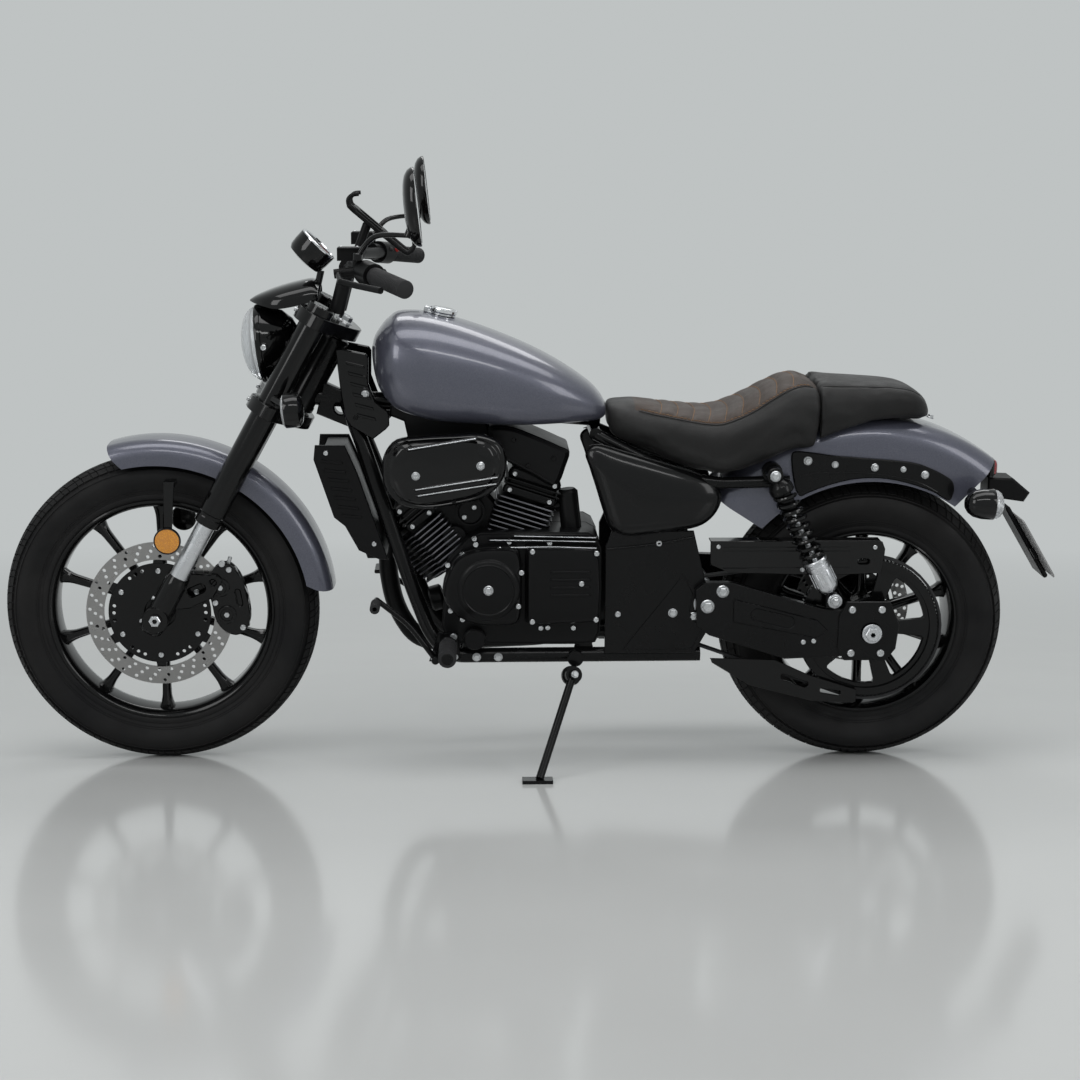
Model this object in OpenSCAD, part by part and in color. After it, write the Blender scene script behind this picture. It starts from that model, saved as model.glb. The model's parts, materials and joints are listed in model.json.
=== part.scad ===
// Cruiser motorcycle, parked on its side stand.
// Bike frame used by every module: X runs rearward from the front axle, Y to the rider's
// right, Z up from the ground with the bike upright. parked() leans it onto its stand.

/* [Wheels and stance] */
// Distance between the two axles
wheelbase = 1440; // [1380:5:1740]
// Outside radius of the front tyre
front_tyre_r = 320; // [300:1:345]
// Width of the front tyre
front_tyre_w = 100; // [80:1:110]
// Outside radius of the rear tyre
rear_tyre_r = 295; // [275:1:310]
// Width of the rear tyre
rear_tyre_w = 150; // [110:1:160]
// Lean of the parked bike onto its side stand, in degrees
lean = 7; // [5:0.5:9]

/* [Front end] */
// Angle of the steering axis from the vertical, in degrees
rake = 28.8; // [26:0.2:31]
// Distance from the steering axis forward to the fork legs
fork_offset = 50; // [40:1:60]
// Distance from the middle plane to each fork leg
leg_y = 100; // [96:1:125]
// Radius of the upper fork tubes
fork_tube_r = 27; // [22:0.5:28]
// Radius of the lower fork sliders
slider_r = 19; // [15:0.5:20]
// Length of the upper fork tubes
fork_tube_len = 496; // [480:1:560]
// Width of the handlebar, end to end
bar_width = 800; // [700:5:960]
// Radius of the headlight
headlight_r = 79; // [65:1:90]

/* [Tank and seat] */
// Half of the widest width of the fuel tank
tank_half_w = 146; // [122:1:176]
// Half of the widest width of the rider's seat
seat_half_w = 158; // [132:1:175]
// Radius of the fuel filler bore
filler_bore_r = 19; // [15:0.5:22]

/* [Rear end] */
// Outside radius of the rear fender, from the rear axle
fender_r = 424; // [400:1:440]
// Half width of the rear fender
fender_half_w = 98; // [90:1:100]
// Radius of the belt pulley on the rear wheel
pulley_r = 145; // [125:1:155]
// Radius of the mufflers
muffler_r = 38; // [30:0.5:44]

/* [Fits] */
// Radius of both wheel axles
axle_r = 10; // [8:0.5:14]
// Running gap between a turning bore and its shaft
fit_gap = 0.05; // [0.02:0.01:0.1]
// Radius of the side stand's pivot pin
stand_pin_r = 6; // [5:0.5:8]

/* [Hidden] */
$fn = 48;

paint = "#5f5c6c";
gloss_black = "#141416";
satin_black = "#202022";
rubber = "#1b1b1d";
silver = "#b9bcc0";
amber = "#d58a12";
red = "#b3202a";

rear_x = wheelbase;
stretch = wheelbase - 1440;            // what a longer bike adds between engine and rear axle

// Steering axis: its foot is the point nearest to the front axle.
axis_foot_x = fork_offset * cos(rake);
axis_foot_z = front_tyre_r - fork_offset * sin(rake);
function axis_x(z) = axis_foot_x + (z - axis_foot_z) * tan(rake);

// Tyre crowns, and how far leaning lets them down
front_crown_r = 0.55 * front_tyre_w;
rear_crown_r = 0.6 * rear_tyre_w;
lift = front_crown_r * (1 - cos(lean));
function floor_z(y) = -y * tan(lean) - lift / cos(lean);

// Middle of the parked bike's footprint
tail_x = rear_x + 385;
mid_x = (tail_x - front_tyre_r) / 2;
grip_z = 1008;
mid_y = -grip_z * sin(lean);

wall = 3;
touch = 0.01;

// ---------------------------------------------------------------- helpers

module parked()
    translate([-mid_x, -mid_y, lift]) rotate([lean, 0, 0]) children();

// Local Z is the steering axis, local -X points forward from it.
module fork_frame()
    translate([axis_foot_x, 0, axis_foot_z]) rotate([0, rake, 0]) children();

module both() {
    children();
    mirror([0, 1, 0]) children();
}

module rod(a, b, r) {
    d = b - a;
    translate(a) rotate([0, acos(d.z / norm(d)), atan2(d.y, d.x)])
        cylinder(h = norm(d), r = r);
}

// Round tube through a row of points, with ball corners a little proud of the tube
module bent_tube(points, r) {
    for (i = [0 : len(points) - 2]) rod(points[i], points[i + 1], r);
    for (i = [1 : len(points) - 2]) translate(points[i]) sphere(r = 1.03 * r);
}

// Side-view outline [x, z] given a thickness from y0 to y1
module side_plate(outline, y0, y1)
    translate([0, y1, 0]) rotate([90, 0, 0]) linear_extrude(y1 - y0) polygon(outline);

// Ring or disc round an axis along Y
module disc(x, z, r, y0, y1)
    translate([x, y1, z]) rotate([90, 0, 0]) cylinder(h = y1 - y0, r = r);

// Smooth curve through points (Catmull-Rom), n steps a span
function at(p, i) = p[max(0, min(len(p) - 1, i))];
function blend4(a, b, c, d, t) =
    0.5 * (2 * b + (c - a) * t + (2 * a - 5 * b + 4 * c - d) * t * t
        + (3 * b - a - 3 * c + d) * t * t * t);
function curve(p, n = 3) = [
    for (i = [0 : len(p) - 2]) for (k = [0 : n - 1])
        blend4(at(p, i - 1), p[i], p[i + 1], at(p, i + 2), k / n),
    p[len(p) - 1]];

// Closed smooth outline through points
function loop_at(p, i) = p[(i + len(p)) % len(p)];
function round_outline(p, n = 4) = [
    for (i = [0 : len(p) - 1]) for (k = [0 : n - 1])
        blend4(loop_at(p, i - 1), p[i], loop_at(p, i + 1), loop_at(p, i + 2), k / n)];

// Closed skin over rings that all have the same number of points
module skin(rings) {
    m = len(rings[0]);
    last = (len(rings) - 1) * m;
    polyhedron(
        points = [for (r = rings) each r],
        faces = [
            [for (j = [0 : m - 1]) j],
            [for (j = [m - 1 : -1 : 0]) last + j],
            for (i = [0 : len(rings) - 2]) for (j = [0 : m - 1])
                let (k = (j + 1) % m, a = i * m)
                each [[a + j, a + m + j, a + k], [a + k, a + m + j, a + m + k]]],
        convexity = 6);
}

// Saddle section at x: a crowned top, sides pulled in below, and a square tunnel underneath.
// s = [x, top, bottom, half width, tunnel half width, tunnel roof]
function saddle_ring(s, square, belly, tuck) =
    let (top = s[1], low = s[2], w = s[3], mid = low + belly * (top - low), steps = 16,
        e = 2 / square)
    [
        for (k = [0 : steps]) let (a = 180 * k / steps, c = cos(a), v = sin(a))
            [s[0], -w * sign(c) * pow(abs(c), e), mid + (top - mid) * pow(v, e)],
        for (k = [1 : 4]) let (a = 90 * k / 4)
            [s[0], w * (1 - tuck * (1 - cos(a))), mid - (mid - low) * sin(a)],
        [s[0], s[4], low], [s[0], s[4], s[5]], [s[0], -s[4], s[5]], [s[0], -s[4], low],
        for (k = [4 : -1 : 1]) let (a = 90 * k / 4)
            [s[0], -w * (1 - tuck * (1 - cos(a))), mid - (mid - low) * sin(a)]];

module saddle(stations, square, belly, tuck, n = 2)
    skin([for (s = curve(stations, n)) saddle_ring(s, square, belly, tuck)]);

// ---------------------------------------------------------------- frame

head_low = 500;                        // along the steering axis
head_high = 664;
stem_r = 15;
spine_r = 18;
spine_front_z = 758;
spine_back = [896, 712];
function spine_z(x) = spine_front_z + (spine_back[1] - spine_front_z)
    * (x - axis_x(spine_front_z)) / (spine_back[0] - axis_x(spine_front_z));
rail_r = 12;
rail_y = 112;
shock_y = 151;
shock_top = [rear_x - 206, 620];
shock_low = [rear_x - 79, 365];
rail_path = [[884, 50, 686], [1000, 88, 632], [1100, rail_y, 596], [rear_x - 170, rail_y, 600]];

module backbone() color(satin_black) difference() {
    union() {
        fork_frame() translate([0, 0, head_low]) cylinder(h = head_high - head_low, r = 30);
        rod([axis_x(spine_front_z), 0, spine_front_z], [spine_back[0], 0, spine_back[1]], spine_r);
        side_plate([[axis_x(790) + 24, 786], [430, 742], [400, 690], [axis_x(735) + 24, 722]],
            -18, 18);
        rod([884, -62, 688], [884, 62, 688], rail_r);
        both() {
            bent_tube(rail_path, rail_r);
            disc(shock_top[0], shock_top[1], 20, rail_y - 8, rail_y + 12);
            disc(shock_top[0], shock_top[1], 8, rail_y + 12, shock_y + 18);
        }
    }
    fork_frame() translate([0, 0, head_low - 1])
        cylinder(h = head_high - head_low + 2, r = stem_r + fit_gap);
}

tube_r = 15;
lower_y = 95;
lower_z = 238;
pivot = [1108 + stretch, 350];         // swingarm pivot
pivot_r = 26;
plate_in = lower_y + tube_r;
plate_out = plate_in + 10;
stand_pivot = [838, -150, 211];

module cradle_side() {
    bent_tube([[axis_x(760) + 58, 24, 748], [435, 60, 615], [509, 72, 388], [549, 84, 283],
        [589, lower_y, lower_z], [1099, lower_y, lower_z + 2]], tube_r);
    difference() {
        side_plate([[903, 248], [1085, 248], [pivot[0] + 6, 300], [pivot[0] + 32, 350],
            [pivot[0] - 4, 400], [1080, 500], [916, 500], [903, 470]], plate_in, plate_out);
        disc(pivot[0], pivot[1], pivot_r + fit_gap, plate_in - 1, plate_out + 1);
    }
    rod([1040, plate_in - 4, 490], [1040, rail_y - 12, 604], 10);
}

module cradle() color(satin_black) {
    difference() {
        union() {
            both() cradle_side();
            for (at_xz = [[620, lower_z - 2], [960, lower_z]])
                rod([at_xz[0], -lower_y, at_xz[1]], [at_xz[0], lower_y, at_xz[1]], 12);
            // stand bracket: a plate square to the stand's pin, on a short outrigger
            rod([stand_pivot.x + 6, -lower_y, lower_z], [stand_pivot.x + 6, -128, lower_z], 16);
            hinge_frame() {
                translate([0, 0, stand_plate_low]) cylinder(h = 9, r = 20);
                translate([-19, 4, stand_plate_low]) cube([38, 34, 9]);
                translate([0, 0, -stand_half - 6]) cylinder(h = stand_half + 14, r = stand_pin_r);
                translate([0, 0, -stand_half - 7]) cylinder(h = 6, r = stand_pin_r + 4);
            }
        }
        // room for the neck gusset and the seat rails
        side_plate([[axis_x(790) + 24, 786], [430, 742], [400, 690], [axis_x(735) + 24, 722]],
            -18, 18);
        both() bent_tube(rail_path, rail_r);
        rod([axis_x(spine_front_z), 0, spine_front_z], [spine_back[0], 0, spine_back[1]], spine_r);
    }
}

// ---------------------------------------------------------------- side stand

stand_half = 8;                        // half thickness of the stand's eye
stand_plate_low = stand_half + 1;
foot_y = -300;
foot_x = stand_pivot.x - 71;
foot_thick = 7;
foot_top = [foot_x, foot_y, floor_z(foot_y) + foot_thick];
stand_axis = [-0.26, 1, -0.4];         // outboard, so that the folded leg tucks under the rail

module hinge_frame()
    translate(stand_pivot)
        rotate([0, acos(stand_axis.z / norm(stand_axis)), atan2(stand_axis.y, stand_axis.x)])
        children();

module side_stand() color(gloss_black) {
    difference() {
        union() {
            hinge_frame() translate([0, 0, -stand_half]) cylinder(h = 2 * stand_half, r = 17);
            rod(stand_pivot + 0.05 * (foot_top - stand_pivot), foot_top, 8);
            translate([foot_x, foot_y, floor_z(foot_y)]) rotate([-lean, 0, 0])
                translate([-34, -20, 0]) cube([60, 40, foot_thick]);
        }
        hinge_frame() translate([0, 0, -stand_half - 20])
            cylinder(h = 60, r = stand_pin_r + fit_gap);
        hinge_frame() translate([0, 0, -stand_half - 20])
            cylinder(h = 20, r = stand_pin_r + 5);
        hinge_frame() translate([-40, -40, stand_half]) cube([80, 80, 30]);
    }
}

// ---------------------------------------------------------------- engine

crank = [670, 319];
case_outline = [[572, 300], [600, 264], [880, 264], [896, 290], [896, 470], [870, 496],
    [640, 496], [584, 440]];
case_half = 108;

module crankcase() side_plate(case_outline, -case_half, case_half);

module engine_block() color(gloss_black) {
    crankcase();
    both() {
        side_plate(round_outline([[566, 386], [590, 332], [640, 310], [760, 309], [880, 312],
            [896, 340], [896, 450], [880, 473], [760, 473], [640, 468], [590, 446]], 3),
            case_half - touch, 150);
        disc(668, 386, 68, 150 - touch, 158);
    }
}

module barrel(tilt, start, length)
    translate([crank[0], 0, crank[1]]) rotate([0, tilt, 0])
        translate([-62, -76, start]) cube([124, 152, length]);

module cylinders() color(gloss_black) difference() {
    union() {
        barrel(-40, 120, 168);
        barrel(18, 150, 152);
    }
    crankcase();
    // clearance between the barrels, behind the radiator and round the downtubes
    side_plate([[640, 400], [646, 620], [700, 620], [700, 400]], -80, 80);
    side_plate([[350, 430], [476, 428], [412, 616], [350, 616]], -80, 80);
    both() side_plate([[350, 400], [526, 400], [456, 622], [350, 622]], 46, 80);
}

module air_cleaner() color(gloss_black) {
    side_plate(round_outline([[459, 627], [468, 672], [500, 696], [600, 700], [652, 702],
        [696, 676], [704, 640], [684, 592], [640, 568], [540, 552], [490, 566]], 3), -176, -122);
    rod([606, -122 - touch, 630], [606, -20, 630], 34);
}

module radiator() color(satin_black)
    side_plate([[328, 664], [384, 513], [418, 430], [470, 430], [406, 614], [382, 668]], -74, 74);

module neck_covers() color(gloss_black) both()
    side_plate([[axis_x(862) + 4, 858], [378, 860], [428, 850], [430, 790], [444, 752],
        [470, 734], [472, 702], [436, 676], [axis_x(740) + 72, 700], [axis_x(762) + 66, 762]],
        58, 70);

// ---------------------------------------------------------------- tank, covers, seats

tank_front = 437;
tank_stations = [
    [tank_front, 864, 838, 30, 8, 839], [442, 880, 812, 66, 10, 814],
    [452, 896, 784, 98, 14, 787], [468, 914, 762, 120, 20, 784],
    [494, 928, 742, 136, 26, 784], [556, 925, 724, tank_half_w, 28, 780],
    [640, 903, 716, tank_half_w - 3, 28, 773], [740, 864, 712, tank_half_w - 16, 28, 765],
    [812, 827, 713, tank_half_w - 34, 28, 758], [870, 788, 715, tank_half_w - 58, 28, 752],
    [894, 764, 718, tank_half_w - 76, 26, 744], [904, 748, 724, tank_half_w - 92, 24, 738]];

cap_x = 578;
cap_z = 921;
cap_tilt = 11.5;
module cap_frame() translate([cap_x, 0, cap_z]) rotate([0, cap_tilt, 0]) children();
neck_r = filler_bore_r + 4;
flange_r = filler_bore_r + 12;

module fuel_tank() color(paint) difference() {
    saddle(tank_stations, 2.5, 0.42, 0.28);
    cap_frame() translate([0, 0, -50]) cylinder(h = 80, r = neck_r + fit_gap);
    cap_frame() translate([0, 0, -1 - fit_gap]) cylinder(h = 20, r = flange_r + fit_gap);
}

hinge_back = 35;                       // lid hinge, ahead of the filler's centre
hinge_up = 7;
barrel_half = 8;

module filler_neck() color(silver) cap_frame() difference() {
    union() {
        translate([0, 0, -34]) cylinder(h = 34, r = neck_r);
        translate([0, 0, -1]) cylinder(h = 5, r = flange_r);
        for (s = [-1, 1]) translate([-hinge_back, s * (barrel_half + 3), 0]) {
            translate([-4, -2, -1]) cube([8, 4, hinge_up + 1]);
            translate([0, 2, hinge_up]) rotate([90, 0, 0]) cylinder(h = 4, r = 4);
        }
        translate([-hinge_back, barrel_half + 4, hinge_up]) rotate([90, 0, 0])
            cylinder(h = 2 * barrel_half + 8, r = 1.8);
        translate([-hinge_back - 4, -barrel_half - 5, -1]) cube([16, 2 * barrel_half + 10, 3]);
    }
    translate([0, 0, -40]) cylinder(h = 60, r = filler_bore_r);
}

module fuel_cap() color(silver) cap_frame() difference() {
    union() {
        translate([0, 0, 4.5]) cylinder(h = 9.5, r = 28);
        translate([0, 0, -1.5]) cylinder(h = 6 + touch, r = filler_bore_r - 5);
        translate([-hinge_back, barrel_half, hinge_up]) rotate([90, 0, 0])
            cylinder(h = 2 * barrel_half, r = 4);
        translate([-hinge_back, -barrel_half, hinge_up - 2]) cube([14, 2 * barrel_half, 6]);
    }
    translate([-hinge_back, barrel_half + 1, hinge_up]) rotate([90, 0, 0])
        cylinder(h = 2 * barrel_half + 2, r = 1.8 + fit_gap);
}

module side_covers() color(satin_black) both() {
    side_plate([[858, 664], [884, 676], [1118, 604], [1142, 573], [1104, 508], [914, 482],
        [896, 492]], 126, 142);
    rod([930, 100, 560], [930, 126 + touch, 560], 12);
    rod([1060, 108, 560], [1060, 126 + touch, 560], 12);
}

function fender_top(x) = rear_tyre_r + sqrt(pow(fender_r + 3, 2) - pow(x - rear_x, 2));
seam_x = rear_x - 115;
seat_front = 908;
// a longer bike stretches the seat's hollow, and its nose and step keep their shapes
seat_nose = 990;
seat_step = 1131;
function seat_x(x) = x <= seat_nose ? x : x >= seat_step ? x + stretch
    : seat_nose + (x - seat_nose) * (seat_step + stretch - seat_nose) / (seat_step - seat_nose);

rider_stations = [
    [seat_front, 752, 694, 66, 20, 695], [seat_x(934), 755, 682, 86, 30, 683],
    [seat_x(990), 743, 661, 112, 50, 662], [seat_x(1042), 736, 638, seat_half_w - 26, 70, 640],
    [seat_x(1095), 730, 624, seat_half_w - 10, 90, 627],
    [seat_x(1131), 731, 620, seat_half_w - 2, 101, 626],
    [seat_x(1165), 742, 626, seat_half_w, 101, max(629, fender_top(seat_x(1165)))],
    [seat_x(1200), 758, 637, seat_half_w - 1, 101, fender_top(seat_x(1200)) + 1],
    [seat_x(1235), 778, 650, seat_half_w - 6, 101, fender_top(seat_x(1235)) + 1],
    [seat_x(1280), 800, 667, seat_half_w - 16, 101, fender_top(seat_x(1280)) + 1],
    [seam_x - 1, 801, 671, seat_half_w - 26, 101, fender_top(seam_x) + 1]];

module rider_seat() color("#2b2522") saddle(rider_stations, 3, 0.55, 0.1);

pillion_stations = [
    [seam_x + 1, 801, 676, 130, 101, fender_top(seam_x) + 1],
    [rear_x - 87, 795, 688, 126, 101, fender_top(rear_x - 87) + 1],
    [rear_x - 13, 790, 712, 118, 101, fender_top(rear_x - 13) + 1],
    [rear_x + 40, 786, 718, 110, 99, 723],
    [rear_x + 72, 780, 720, 102, 60, 721], [rear_x + 92, 770, 719, 92, 50, 720],
    [rear_x + 108, 756, 716, 78, 40, 717], [rear_x + 118, 738, 713, 60, 30, 714],
    [rear_x + 124, 722, 711, 40, 20, 712]];

module pillion_seat() color("#1c1c1e") saddle(pillion_stations, 3, 0.5, 0.08);

// ---------------------------------------------------------------- fenders and rear end

// Fender section in the turning plane: [radius, y], rounded shoulders, one wall thick
function fender_section(r, edge_r, half_w, shoulder) = [
    [edge_r, half_w], for (k = [0 : 6]) let (a = 90 * k / 6)
        [r - shoulder + shoulder * sin(a), half_w - shoulder + shoulder * cos(a)],
    for (k = [6 : -1 : 0]) let (a = 90 * k / 6)
        [r - shoulder + shoulder * sin(a), -(half_w - shoulder + shoulder * cos(a))],
    [edge_r, -half_w], [edge_r, -half_w + wall],
    for (k = [0 : 6]) let (a = 90 * k / 6)
        [r - shoulder + (shoulder - wall) * sin(a),
            -(half_w - shoulder + (shoulder - wall) * cos(a))],
    for (k = [6 : -1 : 0]) let (a = 90 * k / 6)
        [r - shoulder + (shoulder - wall) * sin(a),
            half_w - shoulder + (shoulder - wall) * cos(a)],
    [edge_r, half_w - wall]];

// Turns a [radius, y] section round an axle at x, z, from one angle to another above +X
module round_axle(x, z, from, to)
    translate([x, 0, z]) rotate([90, 0, 0]) rotate([0, 0, from])
        rotate_extrude(angle = to - from, $fn = 96) children();

module rear_fender() color(paint) intersection() {
    round_axle(rear_x, rear_tyre_r, 49, 140)
        polygon(fender_section(fender_r, rear_tyre_r + 5, fender_half_w, 46));
    translate([rear_x - 500, -200, 0]) cube([750, 400, 1000]);
}

module fender_struts() color(gloss_black) both()
    side_plate([for (p = round_outline([[-166, 640], [-160, 659], [-78, 650], [-27, 646],
        [73, 637], [117, 623], [162, 598], [158, 557], [119, 577], [65, 595], [10, 604],
        [-44, 601], [-97, 587], [-147, 567]], 2)) [rear_x + p[0], p[1]]],
        fender_half_w, fender_half_w + 8);

module rear_lights() {
    color(red) translate([rear_x + 250, -46, 592]) cube([18, 92, 42]);
    color(gloss_black) both() {
        rod([rear_x + 202, fender_half_w + 1, 574], [rear_x + 206, 160, 568], 9);
        rod([rear_x + 168, 178, 568], [rear_x + 246, 178, 564], 31);
    }
}

module plate_holder() color(gloss_black) {
    side_plate([[rear_x + 250, 592], [rear_x + 250, 552], [rear_x + 330, 540],
        [rear_x + 338, 560], [rear_x + 300, 590]], -34, 34);
    // hanger with a blank plate on its rear face
    translate([rear_x + 300, 0, 536]) rotate([0, -31, 0]) difference() {
        union() {
            translate([-16, -45, -170]) cube([10, 90, 172]);
            translate([-6, -110, -158]) cube([3, 220, 140]);
        }
        for (s = [-1, 1]) translate([-30, s * 65, -34]) rotate([0, 90, 0]) cylinder(h = 60, r = 3.2);
    }
}

arm_in = 122;
arm_out = 142;

module swingarm() color(gloss_black) {
    difference() {
        union() {
            both() side_plate([[pivot[0] - 22, 310], [pivot[0] - 24, 384], [pivot[0] - 4, 400],
                [pivot[0] + 52, 398], [rear_x - 99, 344], [rear_x + 36, 332], [rear_x + 48, 295],
                [rear_x + 36, 258], [rear_x - 40, 246], [rear_x - 173, 240],
                [pivot[0] + 4, 290]], arm_in, arm_out);
            both() disc(shock_low[0], shock_low[1], 13, arm_in, arm_out - 8);
            both() side_plate([[shock_low[0] - 13, 330], [shock_low[0] + 13, 330],
                [shock_low[0] + 13, shock_low[1]], [shock_low[0] - 13, shock_low[1]]],
                arm_in, arm_out - 8);
            both() disc(shock_low[0], shock_low[1], 8, arm_in, shock_y + 18);
            both() disc(rear_x, rear_tyre_r, axle_r + 8, arm_out - touch, arm_out + 9);
            both() disc(rear_x, rear_tyre_r, axle_r + 7, 112, arm_in + touch);
        }
        disc(rear_x, rear_tyre_r, axle_r + fit_gap, -arm_out - 20, arm_out + 20);
    }
}

// Pivot tube between the arms, and the hollow rear axle
module swingarm_spindles() color(gloss_black) {
    disc(pivot[0], pivot[1], pivot_r, -arm_in, arm_in);
    difference() {
        disc(rear_x, rear_tyre_r, axle_r, -arm_out - 14, arm_out + 14);
        disc(rear_x, rear_tyre_r, axle_r / 2, -arm_out - 20, arm_out + 20);
    }
}

module shocks() color(silver) both() {
    top = [shock_top[0], shock_y, shock_top[1]];
    low = [shock_low[0], shock_y, shock_low[1]];
    along = (low - top) / norm(low - top);
    difference() {
        union() {
            disc(top.x, top.z, 17, shock_y - 12, shock_y + 14);
            disc(low.x, low.z, 15, shock_y - 8, shock_y + 14);
            rod(top + 14 * along, low - 14 * along, 11);
            rod(top + 26 * along, top + 40 * along, 25);
            rod(top + 40 * along, low - 92 * along, 25);
            rod(low - 92 * along, low - 24 * along, 23);
        }
        disc(top.x, top.z, 8, 0, 300);
        disc(low.x, low.z, 8, 0, 300);
    }
}

front_pulley = [985, 345];
front_pulley_r = 40;
belt_in = 89;
belt_out = 107;
belt_t = 5;
belt_gap = 1;
belt_lean = asin((pulley_r - front_pulley_r)
    / norm([rear_x - front_pulley[0], rear_tyre_r - front_pulley[1]]));
belt_dir = atan2(rear_tyre_r - front_pulley[1], rear_x - front_pulley[0]);

// Belt outline: round both pulleys, with straight runs between the tangent points
function belt_loop(extra) = [
    for (k = [0 : 24]) let (a = belt_dir - 90 - belt_lean + (180 + 2 * belt_lean) * k / 24)
        [rear_x + (pulley_r + extra) * cos(a), rear_tyre_r + (pulley_r + extra) * sin(a)],
    for (k = [0 : 16]) let (a = belt_dir + 90 + belt_lean + (180 - 2 * belt_lean) * k / 16)
        [front_pulley[0] + (front_pulley_r + extra) * cos(a),
            front_pulley[1] + (front_pulley_r + extra) * sin(a)]];

module drive_belt() color(rubber) {
    difference() {
        side_plate(belt_loop(belt_gap + belt_t), -belt_out, -belt_in);
        side_plate(belt_loop(belt_gap), -belt_out - 1, -belt_in + 1);
    }
    disc(front_pulley[0], front_pulley[1], front_pulley_r, -belt_out, -belt_in);
    disc(front_pulley[0], front_pulley[1], 18, -belt_in - touch, -70);
}

module belt_guards() color(gloss_black) {
    side_plate([[pivot[0] + 6, 479], [rear_x + 20, 479], [rear_x + 27, 460], [rear_x + 20, 412],
        [rear_x - 90, 408], [pivot[0] + 44, 414], [pivot[0] + 6, 430]], -118, -115);
    side_plate([[pivot[0] + 6, 476], [rear_x + 20, 476], [rear_x + 20, 479], [pivot[0] + 6, 479]],
        -115 - touch, -82);
    side_plate([[pivot[0] + 10, 236], [rear_x - 190, 232], [rear_x - 120, 200],
        [rear_x - 21, 168], [rear_x - 21, 140], [rear_x - 110, 144], [rear_x - 240, 178]],
        -118, -115);
}

module rear_caliper() color(satin_black) difference() {
    union() {
        round_axle(rear_x, rear_tyre_r, 62, 118) translate([84, -110]) square([48, 34]);
        side_plate([[rear_x - 22, 325], [rear_x + 22, 325], [rear_x + 30, 410],
            [rear_x - 30, 410]], 110 - touch, arm_in);
    }
    round_axle(rear_x, rear_tyre_r, 0, 360) translate([50, -94]) square([76, 15]);
}

pipe_r = 20;
muffler_y = 212;

module exhaust() color(gloss_black) {
    bent_tube([[526, 76, 547], [526, 98, 547], [505, 112, 538], [468, 112, 470], [454, 112, 390],
        [470, 112, 290], [520, 124, 208], [800, 176, 206], [880, muffler_y, 225]], pipe_r);
    rod([880, muffler_y, 225], [1400, muffler_y, 262], muffler_r);
    bent_tube([[764, 76, 559], [764, 100, 559], [800, 136, 545], [822, 184, 490], [850, muffler_y, 400],
        [900, muffler_y, 322]], pipe_r);
    rod([900, muffler_y, 322], [1400, muffler_y, 350], muffler_r);
    // hanger, level, between the frame plate and both mufflers
    rod([1000, plate_out, 280], [1000, muffler_y, 280], 11);
}

peg_y = plate_in + 12;
module foot_controls() color(satin_black) {
    both() {
        side_plate([[548, 232], [612, 232], [606, 292], [566, 292]], plate_in, peg_y);
        rod([587, peg_y - touch, 275], [587, 150, 275], 11);
        rod([587, 150 - touch, 275], [587, 262, 275], 18);
        rod([562, peg_y - touch, 250], [562, 180, 250], 8);
    }
    // shift lever, left
    bent_tube([[562, -168, 250], [510, -168, 322], [446, -168, 373]], 6);
    rod([446, -168, 373], [446, -248, 373], 10);
    // brake pedal, right
    bent_tube([[562, 172, 250], [510, 172, 312], [446, 172, 348]], 6);
    translate([424, 164, 348]) cube([46, 66, 9]);
}

// ---------------------------------------------------------------- steering

tube_low = 220;                        // start of the upper tubes, along the steering axis
tube_top = tube_low + fork_tube_len;
clamp_low = 470;
clamp_top = 672;
clamp_h = 27;

module leg_bores(r) for (s = [-1, 1]) translate([-fork_offset, s * leg_y, -100])
    cylinder(h = 1000, r = r);

module fork_tubes() color(gloss_black) fork_frame() for (s = [-1, 1])
    translate([-fork_offset, s * leg_y, tube_low]) cylinder(h = fork_tube_len, r = fork_tube_r);

module fork_sliders() {
    color(silver) fork_frame() for (s = [-1, 1])
        translate([-fork_offset, s * leg_y, 60]) cylinder(h = tube_low - 60, r = slider_r);
    color(gloss_black) difference() {
        union() {
            fork_frame() for (s = [-1, 1])
                translate([-fork_offset, s * leg_y, -32]) cylinder(h = 130, r = 24);
            disc(0, front_tyre_r, axle_r, -leg_y - 30, leg_y + 30);
            // arms that carry the caliper
            side_plate([[10, front_tyre_r + 30], [60, front_tyre_r + 96],
                [150, front_tyre_r + 90], [120, front_tyre_r + 20], [40, front_tyre_r]],
                -leg_y + 6, -73);
        }
        disc(0, front_tyre_r, axle_r / 2, -leg_y - 40, leg_y + 40);
    }
}

module fork_clamps() color(gloss_black) fork_frame() difference() {
    union() {
        for (z = [clamp_low, clamp_top]) translate([0, 0, z]) linear_extrude(clamp_h)
            polygon(round_outline([[-fork_offset - 42, leg_y - 6], [-fork_offset, leg_y + 42],
                [-fork_offset + 40, leg_y], [34, 26], [34, -26], [-fork_offset + 40, -leg_y],
                [-fork_offset, -leg_y - 42], [-fork_offset - 42, -leg_y + 6],
                [-fork_offset - 12, 0]], 4));
        translate([0, 0, clamp_low + 1]) cylinder(h = clamp_top - clamp_low + 1, r = stem_r);
    }
    leg_bores(fork_tube_r);
}

bar_r = 11;
bar_mid = [axis_x(1016) - 44, 1018];
grip_end = [bar_mid[0] + 122, bar_width / 2, grip_z];
grip_in = [bar_mid[0] + 62, bar_width / 2 - 112, 1022];
bar_path = [
    [bar_mid[0], 0, bar_mid[1]], [bar_mid[0], 70, bar_mid[1]],
    [bar_mid[0] + 14, 130, 1034], grip_in, grip_end];

module bar_tube(r) both() bent_tube(bar_path, r);

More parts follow.
